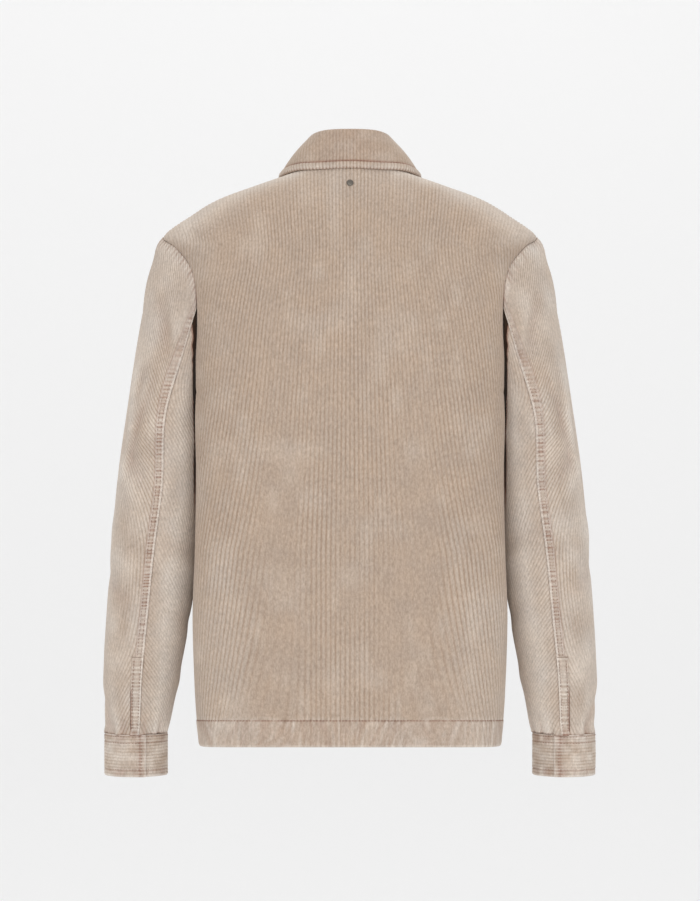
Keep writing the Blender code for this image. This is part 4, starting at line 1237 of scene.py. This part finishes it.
def leaf_relief(place):
    away = np.minimum(place["up"], np.minimum(place["left"], place["right"]))
    drawn = wander(place["rib"] / 0.0060, 111)
    band = 1.0 - eased((away - LEAF_STRIP) / 0.0014)
    groove = bump(away, LEAF_ROW, 0.0011)
    height = 0.0006 * band - 0.0009 * groove + 0.00035 * drawn * bump(away, LEAF_STRIP, 0.006)
    height -= 0.0019 * bump(away, 0.0, 0.0021)
    between = 1.0 - np.sin(np.pi * np.mod(place["rib"] / WALE, 1.0))
    wear_and_light = 0.22 * band + 0.3 * bump(away, 0.0020, 0.0016)
    wear_and_light += 0.18 * patches(place["rib"] / 0.016, place["up"] / 0.014, 113).clip(0.0)
    # Darker in the stitching's groove, with painted shadow along the edge between the wales, and a little
    # darker at the middle of the back.
    dark = 0.70 * groove + 0.6 * bump(away, 0.0, 0.0016) * between + 0.10 * bump(place["rib"], 0.0, 0.045)
    strength = 0.34 + 0.30 * patches(place["rib"] / 0.03, place["up"] / 0.02, 115) + 0.50 * band
    strength += 0.36 * bump(place["rib"], 0.0, 0.034)
    return height, np.clip(strength, 0.1, 1.0), wear_and_light, dark


start = roll + up * SEAM_GAP * 3
centre = start + out * ROLL_RADIUS
leaf_rows = []
for turn in np.radians(np.linspace(180.0, 0.0, 13)):
    leaf_rows.append(centre + (out * np.cos(turn) + up * np.sin(turn)) * (ROLL_RADIUS + DOUBLE))
fall = edge - leaf_rows[-1]
lift = unit(np.cross(unit(fall), along))
first = leaf_rows[-1]
belly = LEAF_BELLY + SIDE_BELLY * bump(np.abs(collar_angles), 80.0, 30.0)
for share in np.r_[np.linspace(0.04, 0.80, 18), np.linspace(0.82, 1.0, 11)]:
    leaf_rows.append(first + fall * share + lift * belly[:, None] * np.sin(np.pi * share))
leaf_rows = finer(np.array(leaf_rows)[::-1], 481)
leaf_up = lengths(leaf_rows)
leaf_round = lengths(np.swapaxes(leaf_rows, 0, 1))
# Its wales are upright behind the neck, and follow the cut towards the points.
turn = np.linspace(-COLLAR["front"][0], COLLAR["front"][0], leaf_up.shape[1])
level = (1.0 - eased((np.abs(turn) - 25.0) / 45.0))[1:]
step = level * np.abs(np.diff(leaf_rows[:, :, 0], axis=1)) + (1.0 - level) * np.diff(leaf_round[:, 10])
leaf_ribs = np.concatenate([np.zeros_like(leaf_up[:, :1]), np.cumsum(step, axis=1)], axis=1)
leaf_ribs = leaf_ribs - leaf_ribs[:, [leaf_ribs.shape[1] // 2]]
leaf = cloth_panel("collar_leaf_cloth", leaf_rows, leaf_ribs, WALE, DOUBLE, leaf_relief, {"up": leaf_up})
sew_on(leaf, "collar_leaf")
lines, ways = (np.swapaxes(each, 0, 1)[12:-12:3] for each in (leaf_rows, facing(leaf_rows)))
leaf_stitches = stitches("collar_stitches", [inset_path(lines, ways, LEAF_ROW, -0.0004)])


# Buttons. Six four-hole horn buttons down the middle of the upper front, turned with a raised rim and a
# dished middle, each sewn on with two bars of thread.

BUTTON_RADIUS = 0.0085
BUTTON_THICK = 0.0028
BUTTON_TOP = -0.130
BUTTON_STEP = 0.098
HOLE_SPREAD = 0.0018  # from the middle to a hole, across and up
HOLE_RADIUS = 0.0009
BUTTON_DISH = 0.70  # height of its dished middle, as a share of the thickness
BAR_HALF = 0.0034
BAR_HEIGHTS = (-0.0021, -0.0015, 0.0015, 0.0021)  # two threads to a bar
# Half its outline, as shares of the radius and the thickness, from the middle of the face round to the
# underside
BUTTON_PROFILE = (
    (0.00, 0.70), (0.10, 0.70), (0.14, 0.70), (0.18, 0.70), (0.22, 0.70), (0.26, 0.70), (0.30, 0.70),
    (0.34, 0.70), (0.38, 0.70), (0.42, 0.70), (0.48, 0.71), (0.54, 0.75), (0.60, 0.84), (0.68, 0.94),
    (0.76, 0.99), (0.84, 1.00), (0.92, 0.94), (0.97, 0.82), (1.00, 0.60), (0.99, 0.38), (0.94, 0.16),
    (0.84, 0.03), (0.70, 0.00), (0.00, 0.00),
)


def turned_piece(name, material, profile, radius, thick, segments, pits=()):
    """A solid turned round the z axis, standing on z = 0, with small pits sunk in its face."""
    points, faces = [], []
    for share, high in profile:
        for k in range(segments):
            turn = 2 * np.pi * k / segments
            x, y, z = share * radius * np.cos(turn), share * radius * np.sin(turn), high * thick
            near = min((np.hypot(x - a, y - b) for a, b in pits), default=1.0)
            if high > 0.5:
                z -= 0.55 * thick * eased((HOLE_RADIUS + 0.0002 - near) / 0.0004)
            points.append((x, y, z))
    for r in range(len(profile) - 1):
        for k in range(segments):
            a, b = r * segments + k, r * segments + (k + 1) % segments
            if profile[r][0] == 0.0:
                faces.append((a, a + segments, b + segments))
            elif profile[r + 1][0] == 0.0:
                faces.append((a, a + segments, b))
            else:
                faces.append((a, a + segments, b + segments, b))
    return new_piece(name, points, faces, material)


# Horn: brown, streaked lengthwise, with a soft polish.
horn, tree, shader = new_material("brown_horn", roughness=0.38, ior=1.54)
spot = add(tree, "ShaderNodeTexCoord").outputs["Object"]
grain = add(tree, "ShaderNodeMapping", {"Vector": spot, "Scale": (1.0, 0.25, 1.0)}).outputs["Vector"]
shade = mixed(tree, noise(tree, grain, 0.0018, 3.0, Distortion=0.8), linear("3A2A20"), linear("7A5F49"))
tree.links.new(shade, shader.inputs["Base Color"])

middle = []
for row in upper_front:
    row = row[np.argsort(row[:, 0])]
    middle.append(read_off(0.0, row[:, 0], row))
middle = np.array(middle)
holes = [(a * HOLE_SPREAD, b * HOLE_SPREAD) for a in (-1, 1) for b in (-1, 1)]
for number in range(1, 7):
    z = BUTTON_TOP - (number - 1) * BUTTON_STEP
    y = max(np.interp(z + step * BUTTON_RADIUS, middle[:, 2], middle[:, 1]) for step in (-1, 0, 1))
    y += 2 * SEAM_GAP
    button = turned_piece(
        f"horn_button_{number}", horn, BUTTON_PROFILE, BUTTON_RADIUS, BUTTON_THICK, 72, holes
    )
    button.location = (0.0, y, z)
    button.rotation_euler = (-np.pi / 2, 0.0, 0.0)
    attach(button, "root")
    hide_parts(f"button_{number}")
    face = y + BUTTON_DISH * BUTTON_THICK
    bars = []
    for up in BAR_HEIGHTS:
        bar = np.array([(-BAR_HALF, face, z + up), (BAR_HALF, face, z + up)])
        bars.append((bar, np.array([(0.0, 1.0, 0.0), (0.0, 1.0, 0.0)])))
    stitches(f"button_thread_{number}", bars, length=0.0044, pitch=0.0067, radius=0.00032)


# Stud. A small plain metal stud with a shallow dome and a stepped rim, riveted through the back under the
# collar.

STUD_RADIUS = 0.0042
STUD_THICK = 0.0016
STUD_BELOW_NECK = 0.026
STUD_PROFILE = (
    (0.00, 1.00), (0.20, 0.99), (0.40, 0.95), (0.58, 0.88), (0.70, 0.80), (0.75, 0.72), (0.78, 0.62),
    (0.82, 0.58), (0.88, 0.60), (0.94, 0.57), (0.98, 0.48), (1.00, 0.34), (0.98, 0.14), (0.92, 0.00),
    (0.00, 0.00),
)

# Dark metal: dull grey nickel with fine brushing that breaks up its reflections.
dark_metal, tree, shader = new_material("dull_nickel", metallic=1.0, roughness=0.42)
shader.inputs["Base Color"].default_value = linear("77716A")
spot = add(tree, "ShaderNodeTexCoord").outputs["Object"]
brushed = {"Value": noise(tree, spot, 0.0006, 2.0), "To Min": 0.30, "To Max": 0.55}
rough = add(tree, "ShaderNodeMapRange", brushed)
tree.links.new(rough.outputs["Result"], shader.inputs["Roughness"])

spine = back_grid[:, back_grid.shape[1] // 2]
z = size_of("neck", "back_z") - STUD_BELOW_NECK
low, high = (np.interp(z + step * STUD_RADIUS, spine[:, 2], spine[:, 1]) for step in (-1, 1))
way = unit(np.array([0.0, -2 * STUD_RADIUS, high - low]))
stud = turned_piece("nickel_stud", dark_metal, STUD_PROFILE, STUD_RADIUS, STUD_THICK, 40)
stud.location = np.array([0.0, np.interp(z, spine[:, 2], spine[:, 1]), z]) + way * 2 * SEAM_GAP
stud.rotation_mode = "QUATERNION"
stud.rotation_quaternion = Vector(way).to_track_quat("Z", "Y")
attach(stud, "root")
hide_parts("neck_stud")


# Stage. A pale sheet that runs from the floor up behind the jacket, soft light from the camera's side and
# above, and the camera straight behind the wearer, as in the photograph.

FLOOR = -2.2
FLOOR_FROM = -7.0
WALL = 5.5
WALL_TOP = 6.0
BEND = 1.0  # radius of the curve between floor and wall
HALF_WIDTH = 8.0
AIM = (0.0, 0.0, -0.35)  # the middle of the jacket

backdrop_line = [(FLOOR_FROM, FLOOR)]
for turn in np.linspace(0.0, np.pi / 2, 17):
    backdrop_line.append((WALL - BEND + BEND * np.sin(turn), FLOOR + BEND - BEND * np.cos(turn)))
backdrop_line.append((WALL, WALL_TOP))
points, faces = [], []
for y, z in backdrop_line:
    points += [(-HALF_WIDTH, y, z), (HALF_WIDTH, y, z)]
for k in range(len(backdrop_line) - 1):
    faces.append((2 * k, 2 * k + 1, 2 * k + 3, 2 * k + 2))
# Pale paper: a matte near white that shows only soft shadows.
paper, tree, shader = new_material("pale_paper", roughness=0.9, specular_ior_level=0.1)
shader.inputs["Base Color"].default_value = linear("F6F6F6")
backdrop = new_piece("backdrop", points, faces, paper)

world = bpy.data.worlds.new("soft_room")
world.use_nodes = True
room = world.node_tree.nodes["Background"]
room.inputs["Color"].default_value = (1.0, 1.0, 1.0, 1.0)
room.inputs["Strength"].default_value = 0.76
bpy.context.scene.world = world


def area_light(name, spot, aim, size, power):
    """A soft square light at a spot, turned to what it lights."""
    data = bpy.data.lights.new(name, "AREA")
    data.size = size
    data.energy = power
    light = bpy.data.objects.new(name, data)
    light.location = spot
    light.rotation_euler = (Vector(aim) - Vector(spot)).to_track_quat("-Z", "Y").to_euler()
    bpy.context.scene.collection.objects.link(light)


area_light("key_light", (-1.2, -3.8, 1.9), AIM, 2.2, 24.0)
area_light("fill_light", (1.9, -3.4, 0.7), AIM, 2.4, 12.0)
area_light("front_light", (0.0, -4.3, -0.1), AIM, 1.4, 25.0)
area_light("backdrop_light", (0.0, 1.5, 4.2), (0.0, 5.5, -0.4), 3.5, 66.0)

camera_data = bpy.data.cameras.new("camera")
camera_data.lens = 132.1
camera = bpy.data.objects.new("camera", camera_data)
camera.location = (0.0, -4.0, -0.331)
camera.rotation_euler = (np.pi / 2, 0.0, 0.0)
bpy.context.scene.collection.objects.link(camera)
bpy.context.scene.camera = camera
bpy.context.scene.view_settings.view_transform = "Standard"
